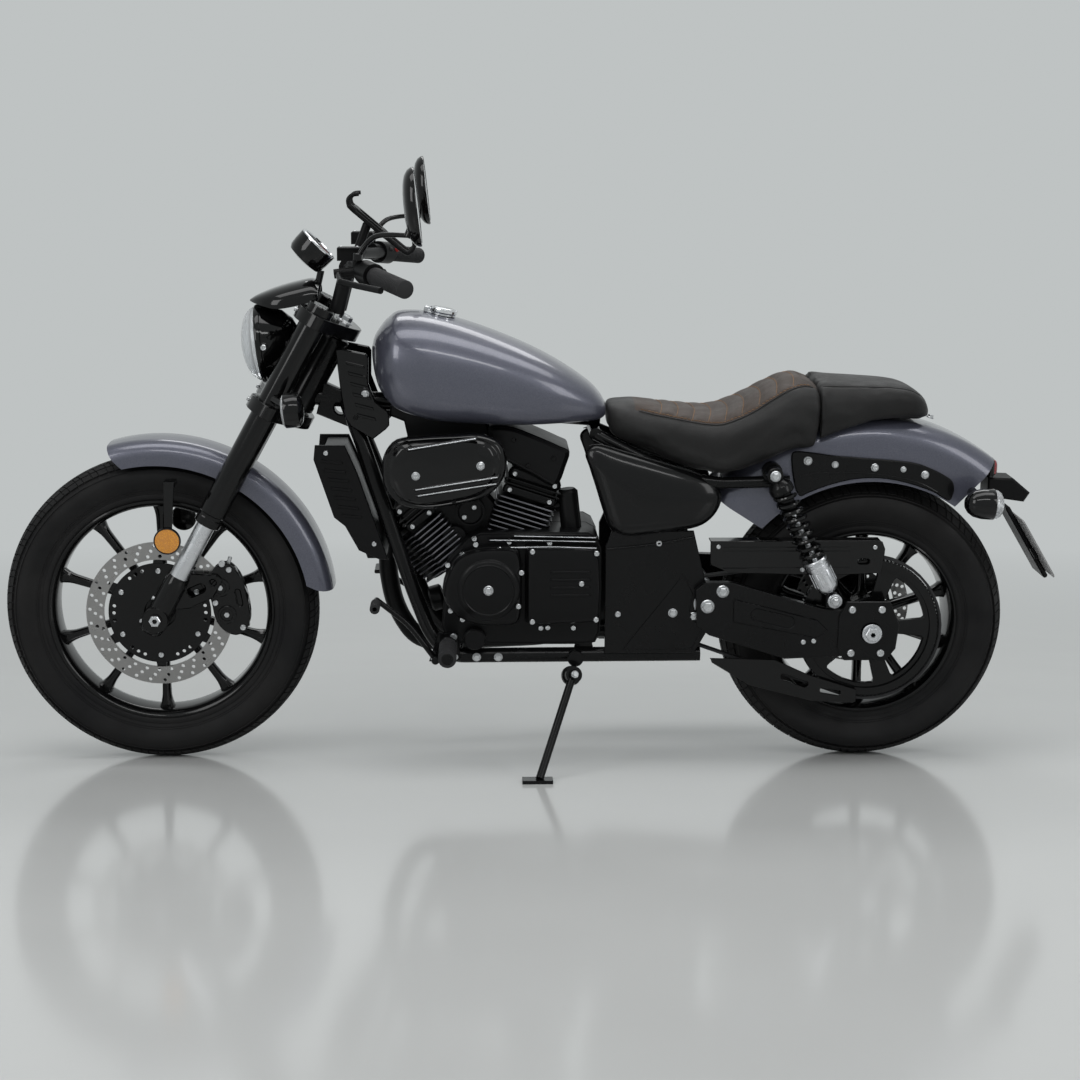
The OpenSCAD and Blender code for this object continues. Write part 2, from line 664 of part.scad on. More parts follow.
module handlebar() {
    color(gloss_black) bar_tube(bar_r);
    color(gloss_black) both() difference() {
        union() {
            rod([axis_x(922) - 20, 40, 928], [bar_mid[0], 40, bar_mid[1] + 16], 15);
            rod([bar_mid[0], 26, bar_mid[1]], [bar_mid[0], 54, bar_mid[1]], 21);
        }
        bar_tube(bar_r);
    }
}

module grips() color(rubber) both() difference() {
    rod(grip_in, grip_end + 0.02 * (grip_end - grip_in), 17);
    rod(grip_in - 0.2 * (grip_end - grip_in), grip_end, bar_r + fit_gap);
    translate(grip_in) sphere(r = 1.03 * bar_r + fit_gap);
}

module hand_controls() color(gloss_black) both() difference() {
    along = (grip_end - grip_in) / norm(grip_end - grip_in);
    union() {
        // switch pod, clutch or brake perch, reservoir and lever
        rod(grip_in - 44 * along, grip_in - 3 * along, 23);
        rod(grip_in - 70 * along, grip_in - 46 * along, 17);
        rod(grip_in - 58 * along, grip_in - 58 * along + [-52, 0, -6], 9);
        bent_tube([grip_in - 58 * along + [-46, -14, -4], grip_in + [-62, 20, -8],
            grip_in + 60 * along + [-58, 0, -6], grip_end + [-44, 0, -2]], 6);
        translate(grip_in - 76 * along + [-38, -22, 16]) cube([46, 34, 24]);
        rod(grip_in - 60 * along + [-10, 0, 0], grip_in - 60 * along + [-8, 0, 30], 8);
    }
    bar_tube(bar_r);
}

mirror_at = [538, 330, 1152];
perch = grip_in + [-34, -30, 32];
module mirrors() color(gloss_black) both() {
    bent_tube([perch, perch + [34, 12, 40], mirror_at + [-14, -8, -52]], 5.5);
    translate(mirror_at) rotate([0, 84, 0]) translate([0, 0, -24]) linear_extrude(26)
        polygon([for (k = [0 : 35]) [73 * cos(10 * k), 55 * sin(10 * k)]]);
}

lamp_mid = [232, 865];
module lamp_frame() translate([lamp_mid[0], 0, lamp_mid[1]]) rotate([0, -96, 0]) children();

module headlight() color(gloss_black) {
    lamp_frame() rotate_extrude() polygon([[0, -60], [20, -60], [44, -50], [62, -30],
        [headlight_r - 5, 0], [headlight_r - 2, 22], [headlight_r, 34], [headlight_r, 46],
        [headlight_r - 6, 46], [headlight_r - 6, 38], [0, 38]]);
    rod([lamp_mid[0] + 60, 0, lamp_mid[1] - 4], [axis_x(830) - 32, 0, 862], 10);
}

module headlight_lens() color("#d8dde2") lamp_frame() rotate_extrude()
    polygon([[0, 38], [headlight_r - 7, 38], [headlight_r - 7, 46],
        for (k = [0 : 6]) [(headlight_r - 7) * cos(15 * k), 46 + 12 * sin(15 * k)]]);

module headlight_visor() color(gloss_black) difference() {
    side_plate(round_outline([[193, 952], [240, 974], [318, 994], [335, 982], [318, 966],
        [268, 953], [236, 946]], 3), -66, 66);
    side_plate([[180, 940], [236, 958], [312, 980], [322, 950], [322, 920], [180, 920]],
        -62, 62);
}

module speedometer() color(gloss_black) {
    face = [334, 0, 1063];
    rod(face + [-34, 0, -34], face, 42);
    rod(face + [2, 0, -54], [axis_x(922) - 22, 0, 934], 7);
}

module phone_holder() color(satin_black) {
    c = [bar_mid[0] + 8, 0, bar_mid[1] + 22];
    rod(c + [0, 0, -8], c + [26, 0, 62], 9);
    translate(c + [26, 0, 62]) rotate([0, 40, 0]) {
        translate([-46, -34, 0]) cube([92, 68, 12]);
        for (x = [-52, 40]) for (y = [-40, 28]) translate([x, y, 0]) cube([12, 12, 32]);
    }
}

module front_signals() {
    color(gloss_black) both() {
        rod([249, leg_y + fork_tube_r + 5, 768], [286, 178, 756], 8);
        rod([268, 190, 754], [312, 190, 758], 34);
    }
    color(amber) both() disc(29, 482, 27, 112, 120);
    color(gloss_black) both() {
        side_plate([[22, 470], [36, 470], [46, 600], [24, 600]], 109, 112 + touch);
        side_plate([[24, 590], [46, 590], [46, 600], [24, 600]], 69, 109 + touch);
    }
}

front_fender_r = front_tyre_r + 35;
front_fender_half = 68;

module front_fender() color(paint) difference() {
    union() {
        round_axle(0, front_tyre_r, 7, 106)
            polygon(fender_section(front_fender_r, front_tyre_r - 16, front_fender_half, 34));
        // tabs to the fork legs
        fork_frame() both() translate([-fork_offset - 20, front_fender_half - 1, 262])
            cube([40, leg_y - fork_tube_r + 2 - front_fender_half, 26]);
    }
    fork_frame() leg_bores(fork_tube_r + fit_gap);
}

caliper_from = -18;
caliper_to = 42;
disc_y = -60.5;
disc_half = 2.5;
front_disc_r = 148;

module front_caliper() color(satin_black) difference() {
    round_axle(0, front_tyre_r, caliper_from, caliper_to)
        translate([100, 44]) square([86, 29]);
    round_axle(0, front_tyre_r, 0, 360) translate([60, -disc_y - disc_half - 5])
        square([front_disc_r - 54, 2 * disc_half + 10]);
}

// ---------------------------------------------------------------- wheels

// Tyre section [radius, y]: beads on the rim, bulged sides, round crown
function tyre_section(r, w, bead_r, bead_half, crown) =
    let (a0 = asin(min(0.98, 0.42 * w / crown)))
    [
        [bead_r, -bead_half], [bead_r + 12, -bead_half - 3], [bead_r + (r - bead_r) * 0.5, -w / 2],
        [r - crown * (1 - cos(a0)) - 6, -w * 0.47],
        for (k = [-8 : 8]) let (a = a0 * k / 8) [r - crown + crown * cos(a), crown * sin(a)],
        [r - crown * (1 - cos(a0)) - 6, w * 0.47],
        [bead_r + (r - bead_r) * 0.5, w / 2], [bead_r + 12, bead_half + 3], [bead_r, bead_half]];

module wheel_spokes(count, from_r, to_r, width, half_in, half_out, first) {
    for (k = [0 : count - 1]) rotate([0, first + 360 * k / count, 0])
        translate([0, 0, from_r]) rotate([90, 0, 0]) linear_extrude(2 * half_out, center = true)
            polygon([[-width / 2, -6], [width / 2, -6], [width / 2, to_r - from_r + 5],
                [-width / 2, to_r - from_r + 5]]);
}

front_bead_r = 229;
front_window_r = 214;
rear_bead_r = 190.5;
rear_window_r = 179;

module rim(window_r, bead_r, half, hub_r, hub_half, spoke_w, spoke_half)
    difference() {
        union() {
            difference() {
                disc(0, 0, bead_r, -half, half);
                disc(0, 0, window_r, -half - 1, half + 1);
            }
            disc(0, 0, hub_r, -hub_half, hub_half);
            wheel_spokes(10, hub_r, window_r, spoke_w, hub_half, spoke_half, 180);
        }
        disc(0, 0, axle_r + fit_gap, -hub_half - 1, hub_half + 1);
    }

module front_tyre() color(rubber) round_axle(0, front_tyre_r, 0, 360)
    polygon(tyre_section(front_tyre_r, front_tyre_w, front_bead_r, 36, front_crown_r));

module front_rim() color(gloss_black) translate([0, 0, front_tyre_r])
    rim(front_window_r, front_bead_r, 40, 42, 50, 20, 13);

module front_disc() color(silver) translate([0, 0, front_tyre_r]) difference() {
    union() {
        disc(0, 0, front_disc_r, disc_y - disc_half, disc_y + disc_half);
        disc(0, 0, 62, disc_y + disc_half - touch, -50);
    }
    for (k = [0 : 5]) rotate([0, 60 * k, 0]) disc(78, 0, 17, -90, -40);
    disc(0, 0, 30, -90, -40);
}

module rear_tyre() color(rubber) round_axle(rear_x, rear_tyre_r, 0, 360)
    polygon(tyre_section(rear_tyre_r, rear_tyre_w, rear_bead_r, 58, rear_crown_r));

module rear_rim() color(gloss_black) translate([rear_x, 0, rear_tyre_r])
    rim(rear_window_r, rear_bead_r, 62, 50, 78, 22, 18);

module rear_pulley() color(gloss_black) translate([rear_x, 0, rear_tyre_r]) difference() {
    union() {
        disc(0, 0, pulley_r, -108, -88);
        disc(0, 0, 50, -88 - touch, -78);
    }
    disc(0, 0, pulley_r - 17, -109, -102);
    for (k = [0 : 4]) rotate([0, 72 * k + 36, 0])
        disc(0.6 * pulley_r, 0, 0.18 * pulley_r, -120, -70);
    disc(0, 0, axle_r + fit_gap + 3, -120, -70);
}

module rear_disc() color(silver) translate([rear_x, 0, rear_tyre_r]) difference() {
    union() {
        disc(0, 0, 121, 84, 89);
        disc(0, 0, 56, 78, 84 + touch);
    }
    for (k = [0 : 5]) rotate([0, 60 * k, 0]) disc(72, 0, 15, 70, 100);
    disc(0, 0, axle_r + fit_gap + 3, 70, 100);
}

// ---------------------------------------------------------------- assembly

parked() backbone();
parked() cradle();
parked() engine_block();
parked() cylinders();
parked() air_cleaner();
parked() radiator();
parked() neck_covers();
parked() fuel_tank();
parked() filler_neck();
parked() side_covers();
parked() rider_seat();
parked() pillion_seat();
parked() rear_fender();
parked() fender_struts();
parked() rear_lights();
parked() plate_holder();
parked() swingarm();
parked() swingarm_spindles();
parked() shocks();
parked() belt_guards();
parked() drive_belt();
parked() rear_caliper();
parked() exhaust();
parked() foot_controls();
parked() fork_tubes();
parked() fork_sliders();
parked() fork_clamps();
parked() handlebar();
parked() grips();
parked() hand_controls();
parked() mirrors();
parked() headlight();
parked() headlight_lens();
parked() headlight_visor();
parked() speedometer();
parked() phone_holder();
parked() front_signals();
parked() front_fender();
parked() front_caliper();
parked() front_tyre();
parked() front_rim();
parked() front_disc();
parked() rear_tyre();
parked() rear_rim();
parked() rear_pulley();
parked() rear_disc();
parked() side_stand();
parked() fuel_cap();
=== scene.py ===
"""Cruiser motorcycle leaning on its side stand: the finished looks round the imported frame.

Shapes are made in the bike's own frame, in millimetres: X runs rearward from the front axle, Y to the
rider's right and Z up from the ground with the bike upright. PARKED turns that into the row frame.
"""

import json
import math

import bmesh
import bpy
from mathutils import Matrix, Vector, noise
from mathutils.geometry import delaunay_2d_cdt


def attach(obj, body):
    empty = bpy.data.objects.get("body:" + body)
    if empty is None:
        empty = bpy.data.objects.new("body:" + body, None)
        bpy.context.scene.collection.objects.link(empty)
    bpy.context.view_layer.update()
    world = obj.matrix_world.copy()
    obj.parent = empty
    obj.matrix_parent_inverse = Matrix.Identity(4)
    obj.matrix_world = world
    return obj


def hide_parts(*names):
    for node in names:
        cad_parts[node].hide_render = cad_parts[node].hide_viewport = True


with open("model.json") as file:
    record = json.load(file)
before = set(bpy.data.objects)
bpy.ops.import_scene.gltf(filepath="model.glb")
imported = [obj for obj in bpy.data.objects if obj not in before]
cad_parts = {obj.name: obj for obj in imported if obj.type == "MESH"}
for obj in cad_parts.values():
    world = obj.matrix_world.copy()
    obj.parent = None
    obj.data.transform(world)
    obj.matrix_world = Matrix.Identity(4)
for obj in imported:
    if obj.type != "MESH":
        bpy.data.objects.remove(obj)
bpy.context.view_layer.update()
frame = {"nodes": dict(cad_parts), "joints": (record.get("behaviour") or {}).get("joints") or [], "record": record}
JOINT = {j["name"]: j for j in frame["joints"]}

# ---------------------------------------------------------------- driving sizes, mm

FRONT_R, FRONT_W = 320, 100
REAR_R, REAR_W = 295, 150
RAKE = math.radians(28.8)
FORK_OFFSET, LEG_Y = 50, 100
FORK_TUBE_R, SLIDER_R = 27, 19

front_axle = Vector(JOINT["front_wheel_spin"]["pos_m"])
rear_axle = Vector(JOINT["rear_wheel_spin"]["pos_m"])
right = Vector(JOINT["front_wheel_spin"]["axis"])
up = Vector((1, 0, 0)).cross(right)
REAR_X = (rear_axle - front_axle).length * 1000
REAR_X = math.sqrt(REAR_X**2 - (FRONT_R - REAR_R) ** 2)

BIKE = Matrix((Vector((1, 0, 0)), right, up)).transposed().to_4x4()
BIKE.translation = front_axle - up * FRONT_R / 1000
PARKED = BIKE @ Matrix.Scale(0.001, 4)


def shift(x, y, z):
    return Matrix.Translation((x, y, z))


def turn(degrees, axis):
    return Matrix.Rotation(math.radians(degrees), 4, axis)


ACROSS = turn(-90, "X")  # local Z becomes the rider's right
ACROSS_LEFT = Matrix.Scale(-1, 4, Vector((0, 1, 0))) @ ACROSS  # its mirror image, drawn on the left
FORK = shift(FORK_OFFSET * math.cos(RAKE), 0, FRONT_R - FORK_OFFSET * math.sin(RAKE)) @ Matrix.Rotation(
    RAKE, 4, "Y"
)
LAMP = shift(232, 0, 865) @ turn(-96, "Y")
CAP = shift(578, 0, 921) @ turn(11.5, "Y")
FRONT_HUB = shift(0, 0, FRONT_R) @ ACROSS
REAR_HUB = shift(REAR_X, 0, REAR_R) @ ACROSS


def aim(at, direction):
    """Matrix that puts local Z along direction at a point."""
    return Matrix.Translation(at) @ Vector(direction).to_track_quat("Z", "Y").to_matrix().to_4x4()


def outward(side):
    """Turn that puts local Z away from the middle plane, on the left (-1) or the right (1)."""
    return turn(-90 * side, "X")


STAND_HINGE, STAND_PIN = Vector((838, -150, 211)), Vector((-0.26, 1, -0.4))


# ---------------------------------------------------------------- shapes


class Shape:
    """Closed skins gathered in millimetres, each face with the number of its material."""

    def __init__(self):
        self.points = []
        self.faces = []
        self.marks = []

    def add(self, points, faces, mark=0, place=None):
        start = len(self.points)
        place = place or Matrix.Identity(4)
        self.points += [place @ Vector(p) for p in points]
        self.faces += [[start + i for i in f] for f in faces]
        self.marks += [mark] * len(faces)

    def both(self, make):
        """Adds what make(side) draws for the left (-1) and the right (1)."""
        for side in (-1, 1):
            make(side)
        return self

    # a skin over rings that all have the same number of points
    def loft(self, rings, mark=0, place=None, loop=False):
        m = len(rings[0])
        rows = len(rings)
        faces = []
        for i in range(rows if loop else rows - 1):
            a, b = i * m, (i + 1) % rows * m
            for j in range(m):
                k = (j + 1) % m
                faces.append([a + j, a + k, b + k, b + j])
        if not loop:
            faces.append(list(range(m))[::-1])
            faces.append([(rows - 1) * m + j for j in range(m)])
        self.add([p for ring in rings for p in ring], faces, mark, place)

    # (radius, height) profile turned round local Z; a closed profile makes a ring
    def lathe(self, profile, place=None, steps=48, mark=0, closed=False):
        points, rows, faces = [], [], []
        for radius, height in profile:
            if radius < 1e-6:
                rows.append([len(points)] * steps)
                points.append((0, 0, height))
                continue
            rows.append(list(range(len(points), len(points) + steps)))
            for k in range(steps):
                a = 2 * math.pi * k / steps
                points.append((radius * math.cos(a), radius * math.sin(a), height))
        pairs = list(zip(rows, rows[1:])) + ([(rows[-1], rows[0])] if closed else [])
        for low, high in pairs:
            for k in range(steps):
                n = (k + 1) % steps
                face = []
                for i in (low[k], low[n], high[n], high[k]):
                    if i not in face:
                        face.append(i)
                if len(face) > 2:
                    faces.append(face)
        if not closed:
            if profile[0][0] > 1e-6:
                faces.append(rows[0][::-1])
            if profile[-1][0] > 1e-6:
                faces.append(rows[-1])
        self.add(points, faces, mark, place)

    # round or shaped bar along a path
    def sweep(self, path, radius, mark=0, place=None, sides=16, loop=False):
        path = [Vector(p) for p in path]
        n = len(path)
        section = circle(0, 0, 1, sides)
        tangent = []
        for i in range(n):
            a = path[(i - 1) % n] if loop or i > 0 else path[0]
            b = path[(i + 1) % n] if loop or i < n - 1 else path[-1]
            tangent.append((b - a).normalized())
        side = tangent[0].cross(Vector((0, 0, 1)))
        if side.length < 1e-3:
            side = tangent[0].cross(Vector((0, 1, 0)))
        side.normalize()
        rings = []
        for i in range(n):
            if i:
                side = tangent[i - 1].rotation_difference(tangent[i]) @ side
            other = side.cross(tangent[i])
            r = radius(i / (n - 1)) if callable(radius) else radius
            rings.append([path[i] + side * u * r + other * v * r for u, v in section])
        self.loft(rings, mark, place, loop)

    def rod(self, a, b, r, mark=0, place=None, sides=24, edge=0.8):
        """Round bar with softened ends."""
        a, b = Vector(a), Vector(b)
        long = (b - a).length
        e = min(edge, long / 3, r / 2)
        profile = [(0, 0), (r - e, 0), (r, e), (r, long - e), (r - e, long), (0, long)]
        self.lathe(profile, (place or Matrix.Identity(4)) @ aim(a, b - a), sides, mark)

    # flat plate in the local XY plane from low to high, with holes through it
    def pierced(self, outline, holes, low, high, place=None, mark=0, edge=0.0):
        loops = [outline] + list(holes)
        flat, edges = [], []
        for ring in loops:
            start = len(flat)
            flat += [Vector(p[:2]) for p in ring]
            edges += [(start + i, start + (i + 1) % len(ring)) for i in range(len(ring))]
        points, _, faces, *_ = delaunay_2d_cdt(flat, edges, [], 1, 1e-4)
        kept = []
        for f in faces:
            middle = sum((points[i] for i in f), Vector((0, 0))) / len(f)
            if any(inside(middle, h) for h in holes):
                continue
            kept.append(list(f))
        rim = {}
        for f in kept:
            for i, j in zip(f, f[1:] + f[:1]):
                if (j, i) in rim:
                    del rim[(j, i)]
                else:
                    rim[(i, j)] = True
        m = len(points)
        levels = [(low, 0.0), (high, 0.0)]
        if edge:
            levels = [(low, edge), (low + edge, 0.0), (high - edge, 0.0), (high, edge)]
        inward = {}
        for i, j in rim:
            d = (points[j] - points[i]).normalized()
            for k in (i, j):
                inward[k] = inward.get(k, Vector((0, 0))) + Vector((-d.y, d.x))
        skins = []
        for height, back in levels:
            for k, p in enumerate(points):
                move = inward.get(k, Vector((0, 0)))
                q = p + move.normalized() * back if move.length else p
                skins.append((q.x, q.y, height))
        top = (len(levels) - 1) * m
        out = [f[::-1] for f in kept] + [[top + i for i in f] for f in kept]
        for level in range(len(levels) - 1):
            a, b = level * m, (level + 1) * m
            out += [[a + i, a + j, b + j, b + i] for i, j in rim]
        used = sorted({i for f in out for i in f})
        index = {i: n for n, i in enumerate(used)}
        self.add([skins[i] for i in used], [[index[i] for i in f] for f in out], mark, place)

    def plate(self, outline, y0, y1, mark=0, edge=1.2, holes=()):
        """Side-view outline [x, z] between two distances from the middle plane, in either order."""
        flat = [(x, -z) for x, z in outline]
        cuts = [[(x, -z) for x, z in h] for h in holes]
        self.pierced(flat, cuts, min(y0, y1), max(y0, y1), ACROSS, mark, edge)

    # outline whose rings shrink towards its middle while they rise, [(share, height)]
    def pillow(self, outline, levels, place):
        middle = sum((Vector(p) for p in outline), Vector((0, 0))) / len(outline)
        rings = []
        for share, height in levels:
            ring = [middle + (Vector(p) - middle) * share for p in outline]
            rings.append([(p.x, p.y, height) for p in ring])
        self.loft(rings, place=place)

    def block(self, low, high, place=None, mark=0, edge=1.5):
        """Box with softened edges, given by two opposite corners."""
        (x0, x1), (y0, y1), (z0, z1) = (sorted(pair) for pair in zip(low, high))
        e = min(edge, (x1 - x0) / 3, (y1 - y0) / 3, (z1 - z0) / 3)

        def ring(inset, z):
            a, b, c, d = x0 + inset, x1 - inset, y0 + inset, y1 - inset
            return [
                (a + e, c, z), (b - e, c, z), (b, c + e, z), (b, d - e, z),
                (b - e, d, z), (a + e, d, z), (a, d - e, z), (a, c + e, z),
            ]

        self.loft([ring(e * 0.6, z0), ring(0, z0 + e), ring(0, z1 - e), ring(e * 0.6, z1)], mark, place)


def inside(p, ring):
    """True if a flat point lies in a closed ring of points."""
    hit = False
    for i, a in enumerate(ring):
        b = ring[i - 1]
        if (a[1] > p.y) != (b[1] > p.y) and p.x < (b[0] - a[0]) * (p.y - a[1]) / (b[1] - a[1]) + a[0]:
            hit = not hit
    return hit


def circle(x, y, r, steps=24):
    turns = [2 * math.pi * k / steps for k in range(steps)]
    return [(x + r * math.cos(a), y + r * math.sin(a)) for a in turns]


def spline(points, steps=6, loop=False):
    """Smooth curve through points of any number of coordinates."""
    p = [Vector(q) for q in points]
    n = len(p)
    out = []
    for i in range(n if loop else n - 1):
        if loop:
            a, b, c, d = p[i - 1], p[i], p[(i + 1) % n], p[(i + 2) % n]
        else:
            a, b, c, d = p[max(i - 1, 0)], p[i], p[i + 1], p[min(i + 2, n - 1)]
        for k in range(steps):
            t = k / steps
            square, cube = 2 * a - 5 * b + 4 * c - d, 3 * b - a - 3 * c + d
            out.append(0.5 * (2 * b + (c - a) * t + square * t**2 + cube * t**3))
    if not loop:
        out.append(p[-1])
    return out


def closed_curve(points, steps=3):
    """Smooth closed outline through points."""
    return [tuple(p) for p in spline(points, steps, True)]


def bends(points, radius, steps=6):
    """Path whose inner corners are turned into round bends."""
    p = [Vector(q) for q in points]
    out = [p[0]]
    for a, b, c in zip(p, p[1:], p[2:]):
        r = min(radius, (a - b).length * 0.48, (c - b).length * 0.48)
        first, last = b + (a - b).normalized() * r, b + (c - b).normalized() * r
        for k in range(steps + 1):
            t = k / steps
            out.append(first.lerp(b, t).lerp(b.lerp(last, t), t))
    out.append(p[-1])
    return out


# ---------------------------------------------------------------- pieces


def new_object(name, data):
    made = bpy.data.objects.new(name, data)
    bpy.context.scene.collection.objects.link(made)
    return made


def tidy_mesh(mesh, sharp=35, merge=1e-6):
    bm = bmesh.new()
    bm.from_mesh(mesh)
    bmesh.ops.remove_doubles(bm, verts=bm.verts, dist=merge)
    bmesh.ops.recalc_face_normals(bm, faces=bm.faces)
    bm.to_mesh(mesh)
    bm.free()
    mesh.shade_smooth()
    mesh.set_sharp_from_angle(angle=math.radians(sharp))


def plain_object(name, shape):
    """Object in millimetres, used as a pattern by the node trees."""
    mesh = bpy.data.meshes.new(name)
    mesh.from_pydata(shape.points, [], shape.faces)
    mesh.polygons.foreach_set("material_index", shape.marks)
    tidy_mesh(mesh, merge=1e-3)
    return new_object(name, mesh)


def loose(shape, material):
    """Mesh in millimetres, in one material."""
    holder = plain_object("part", shape)
    mesh = holder.data.copy()
    mesh.materials.append(material)
    bpy.data.objects.remove(holder)
    return mesh


def piece(name, shape, body, materials, stands_for=(), sharp=35):
    """A finished piece from a shape in the bike frame."""
    mesh = bpy.data.meshes.new(name)
    mesh.from_pydata([PARKED @ p for p in shape.points], [], shape.faces)
    for m in materials if isinstance(materials, (list, tuple)) else [materials]:
        mesh.materials.append(m)
    mesh.polygons.foreach_set("material_index", shape.marks)
    tidy_mesh(mesh, sharp)
    return settle(new_object(name, mesh), body, stands_for)


def settle(made, body, stands_for=(), bevel=0.0):
    """Softens the edges by bevel millimetres, then puts the piece on its body."""
    if bevel:
        soft = made.modifiers.new("Soft edges", "BEVEL")
        soft.width = bevel / 1000
        soft.segments = 2
        soft.limit_method = "ANGLE"
        soft.angle_limit = math.radians(35)
        soft.harden_normals = True
    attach(made, body)
    if stands_for:
        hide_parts(*stands_for)
    return made


NODE_BODY = {n: b for b, ns in frame["record"]["behaviour"]["bodies"].items() for n in ns}


def dressed(node, material, bevel):
    """A merged copy of a CAD node with softened edges, which stands for it."""
    mesh = frame["nodes"][node].data.copy()
    if mesh.attributes.get("custom_normal"):
        mesh.attributes.remove(mesh.attributes["custom_normal"])
    bm = bmesh.new()
    bm.from_mesh(mesh)
    bmesh.ops.remove_doubles(bm, verts=bm.verts, dist=1e-5)
    bmesh.ops.dissolve_limit(bm, angle_limit=math.radians(0.6), verts=bm.verts, edges=bm.edges)
    bm.to_mesh(mesh)
    bm.free()
    mesh.materials.clear()
    mesh.materials.append(material)
    mesh.shade_smooth()
    mesh.set_sharp_from_angle(angle=math.radians(35))
    made = new_object(node + "_finished", mesh)
    return settle(made, NODE_BODY[node], (node,), bevel)


# ---------------------------------------------------------------- node trees for what repeats


def add_node(tree, kind, links, **settings):
    """Node whose inputs are linked where a socket is given, and set where a plain value is."""
    made = tree.nodes.new(kind)
    for key, value in settings.items():
        setattr(made, key, value)
    for key, value in links.items():
        socket = made.inputs[key]
        if isinstance(value, bpy.types.NodeSocket):
            tree.links.new(value, socket)
        else:
            socket.default_value = value
    return made.outputs


class Tree:
    """A Geometry Nodes tree with named inputs, which ends in Realize Instances and Set Material."""

    KINDS = {int: "NodeSocketInt", float: "NodeSocketFloat", bpy.types.Object: "NodeSocketObject",
             bpy.types.Material: "NodeSocketMaterial", Vector: "NodeSocketVector"}

    def __init__(self, name, **inputs):
        self.group = bpy.data.node_groups.new(name, "GeometryNodeTree")
        face = self.group.interface
        face.new_socket("Geometry", in_out="INPUT", socket_type="NodeSocketGeometry")
        self.sockets = {}
        for key, kind in inputs.items():
            made = face.new_socket(key, in_out="INPUT", socket_type=self.KINDS[kind])
            self.sockets[key] = made.identifier
        face.new_socket("Geometry", in_out="OUTPUT", socket_type="NodeSocketGeometry")
        self.given = self.group.nodes.new("NodeGroupInput")

    def input(self, key):
        return self.given.outputs[key]

    def node(self, kind, links, **settings):
        return add_node(self.group, kind, links, **settings)

    def end(self, geometry):
        real = self.node("GeometryNodeRealizeInstances", {"Geometry": geometry})
        coat = self.node(
            "GeometryNodeSetMaterial", {"Geometry": real["Geometry"], "Material": self.input("Material")}
        )
        out = self.group.nodes.new("NodeGroupOutput")
        self.group.links.new(coat["Geometry"], out.inputs["Geometry"])
        return self

    def grow(self, host=None, **values):
        """Runs the tree on a host mesh and gives back a plain mesh."""
        host = host or new_object("host", bpy.data.meshes.new("host"))
        run = host.modifiers.new("Grow", "NODES")
        run.node_group = self.group
        for key, value in values.items():
            run[self.sockets[key]] = value
        graph = bpy.context.evaluated_depsgraph_get()
        graph.update()
        mesh = bpy.data.meshes.new_from_object(host.evaluated_get(graph))
        host.modifiers.remove(run)
        bpy.data.objects.remove(host)
        return mesh


def ring_tree():
    """Copies of a pattern turned round local Z."""
    t = Tree("Ring of copies", Pattern=bpy.types.Object, Count=int, Material=bpy.types.Material)
    line = t.node("GeometryNodeMeshLine", {"Count": t.input("Count"), "Offset": (0, 0, 0)})
    place = t.node("GeometryNodeInputIndex", {})
    share = t.node("ShaderNodeMath", {0: place["Index"], 1: t.input("Count")}, operation="DIVIDE")
    angle = t.node("ShaderNodeMath", {0: share["Value"], 1: 2 * math.pi}, operation="MULTIPLY")
    around = t.node("ShaderNodeCombineXYZ", {"Z": angle["Value"]})
    look = t.node("GeometryNodeObjectInfo", {"Object": t.input("Pattern")})
    copies = t.node(
        "GeometryNodeInstanceOnPoints",
        {"Points": line["Mesh"], "Instance": look["Geometry"], "Rotation": around["Vector"]},
    )
    return t.end(copies["Instances"])


def row_tree():
    """Copies of a pattern in a straight row."""
    t = Tree("Row of copies", Pattern=bpy.types.Object, Count=int, Step=Vector, Material=bpy.types.Material)
    line = t.node("GeometryNodeMeshLine", {"Count": t.input("Count"), "Offset": t.input("Step")})
    look = t.node("GeometryNodeObjectInfo", {"Object": t.input("Pattern")})
    copies = t.node("GeometryNodeInstanceOnPoints", {"Points": line["Mesh"], "Instance": look["Geometry"]})
    return t.end(copies["Instances"])


def spot_tree():
    """Copies of a pattern on a mesh's points, whose attributes aim (Z), along (X) and size place each one."""
    t = Tree("Copies on spots", Pattern=bpy.types.Object, Material=bpy.types.Material)
    aim_at = t.node("GeometryNodeInputNamedAttribute", {"Name": "aim"}, data_type="FLOAT_VECTOR")
    along = t.node("GeometryNodeInputNamedAttribute", {"Name": "along"}, data_type="FLOAT_VECTOR")
    size = t.node("GeometryNodeInputNamedAttribute", {"Name": "size"}, data_type="FLOAT")
    stand = t.node("FunctionNodeAlignRotationToVector", {"Vector": aim_at["Attribute"]}, axis="Z")
    swing = t.node(
        "FunctionNodeAlignRotationToVector",
        {"Rotation": stand["Rotation"], "Vector": along["Attribute"]},
        axis="X", pivot_axis="Z",
    )
    look = t.node("GeometryNodeObjectInfo", {"Object": t.input("Pattern")})
    copies = t.node(
        "GeometryNodeInstanceOnPoints",
        {
            "Points": t.input("Geometry"), "Instance": look["Geometry"],
            "Rotation": swing["Rotation"], "Scale": size["Attribute"],
        },
    )
    return t.end(copies["Instances"])


def coil_tree():
    """Round wire wound into a spring up local Z."""
    t = Tree("Coil spring", Radius=float, Wire=float, Turns=float, Height=float, Material=bpy.types.Material)
    line = t.node(
        "GeometryNodeCurveSpiral",
        {
            "Resolution": 28, "Rotations": t.input("Turns"), "Start Radius": t.input("Radius"),
            "End Radius": t.input("Radius"), "Height": t.input("Height"),
        },
    )
    wire = t.node("GeometryNodeCurvePrimitiveCircle", {"Resolution": 10, "Radius": t.input("Wire")})
    skin = t.node(
        "GeometryNodeCurveToMesh",
        {"Curve": line["Curve"], "Profile Curve": wire["Curve"], "Fill Caps": True},
    )
    return t.end(skin["Mesh"])


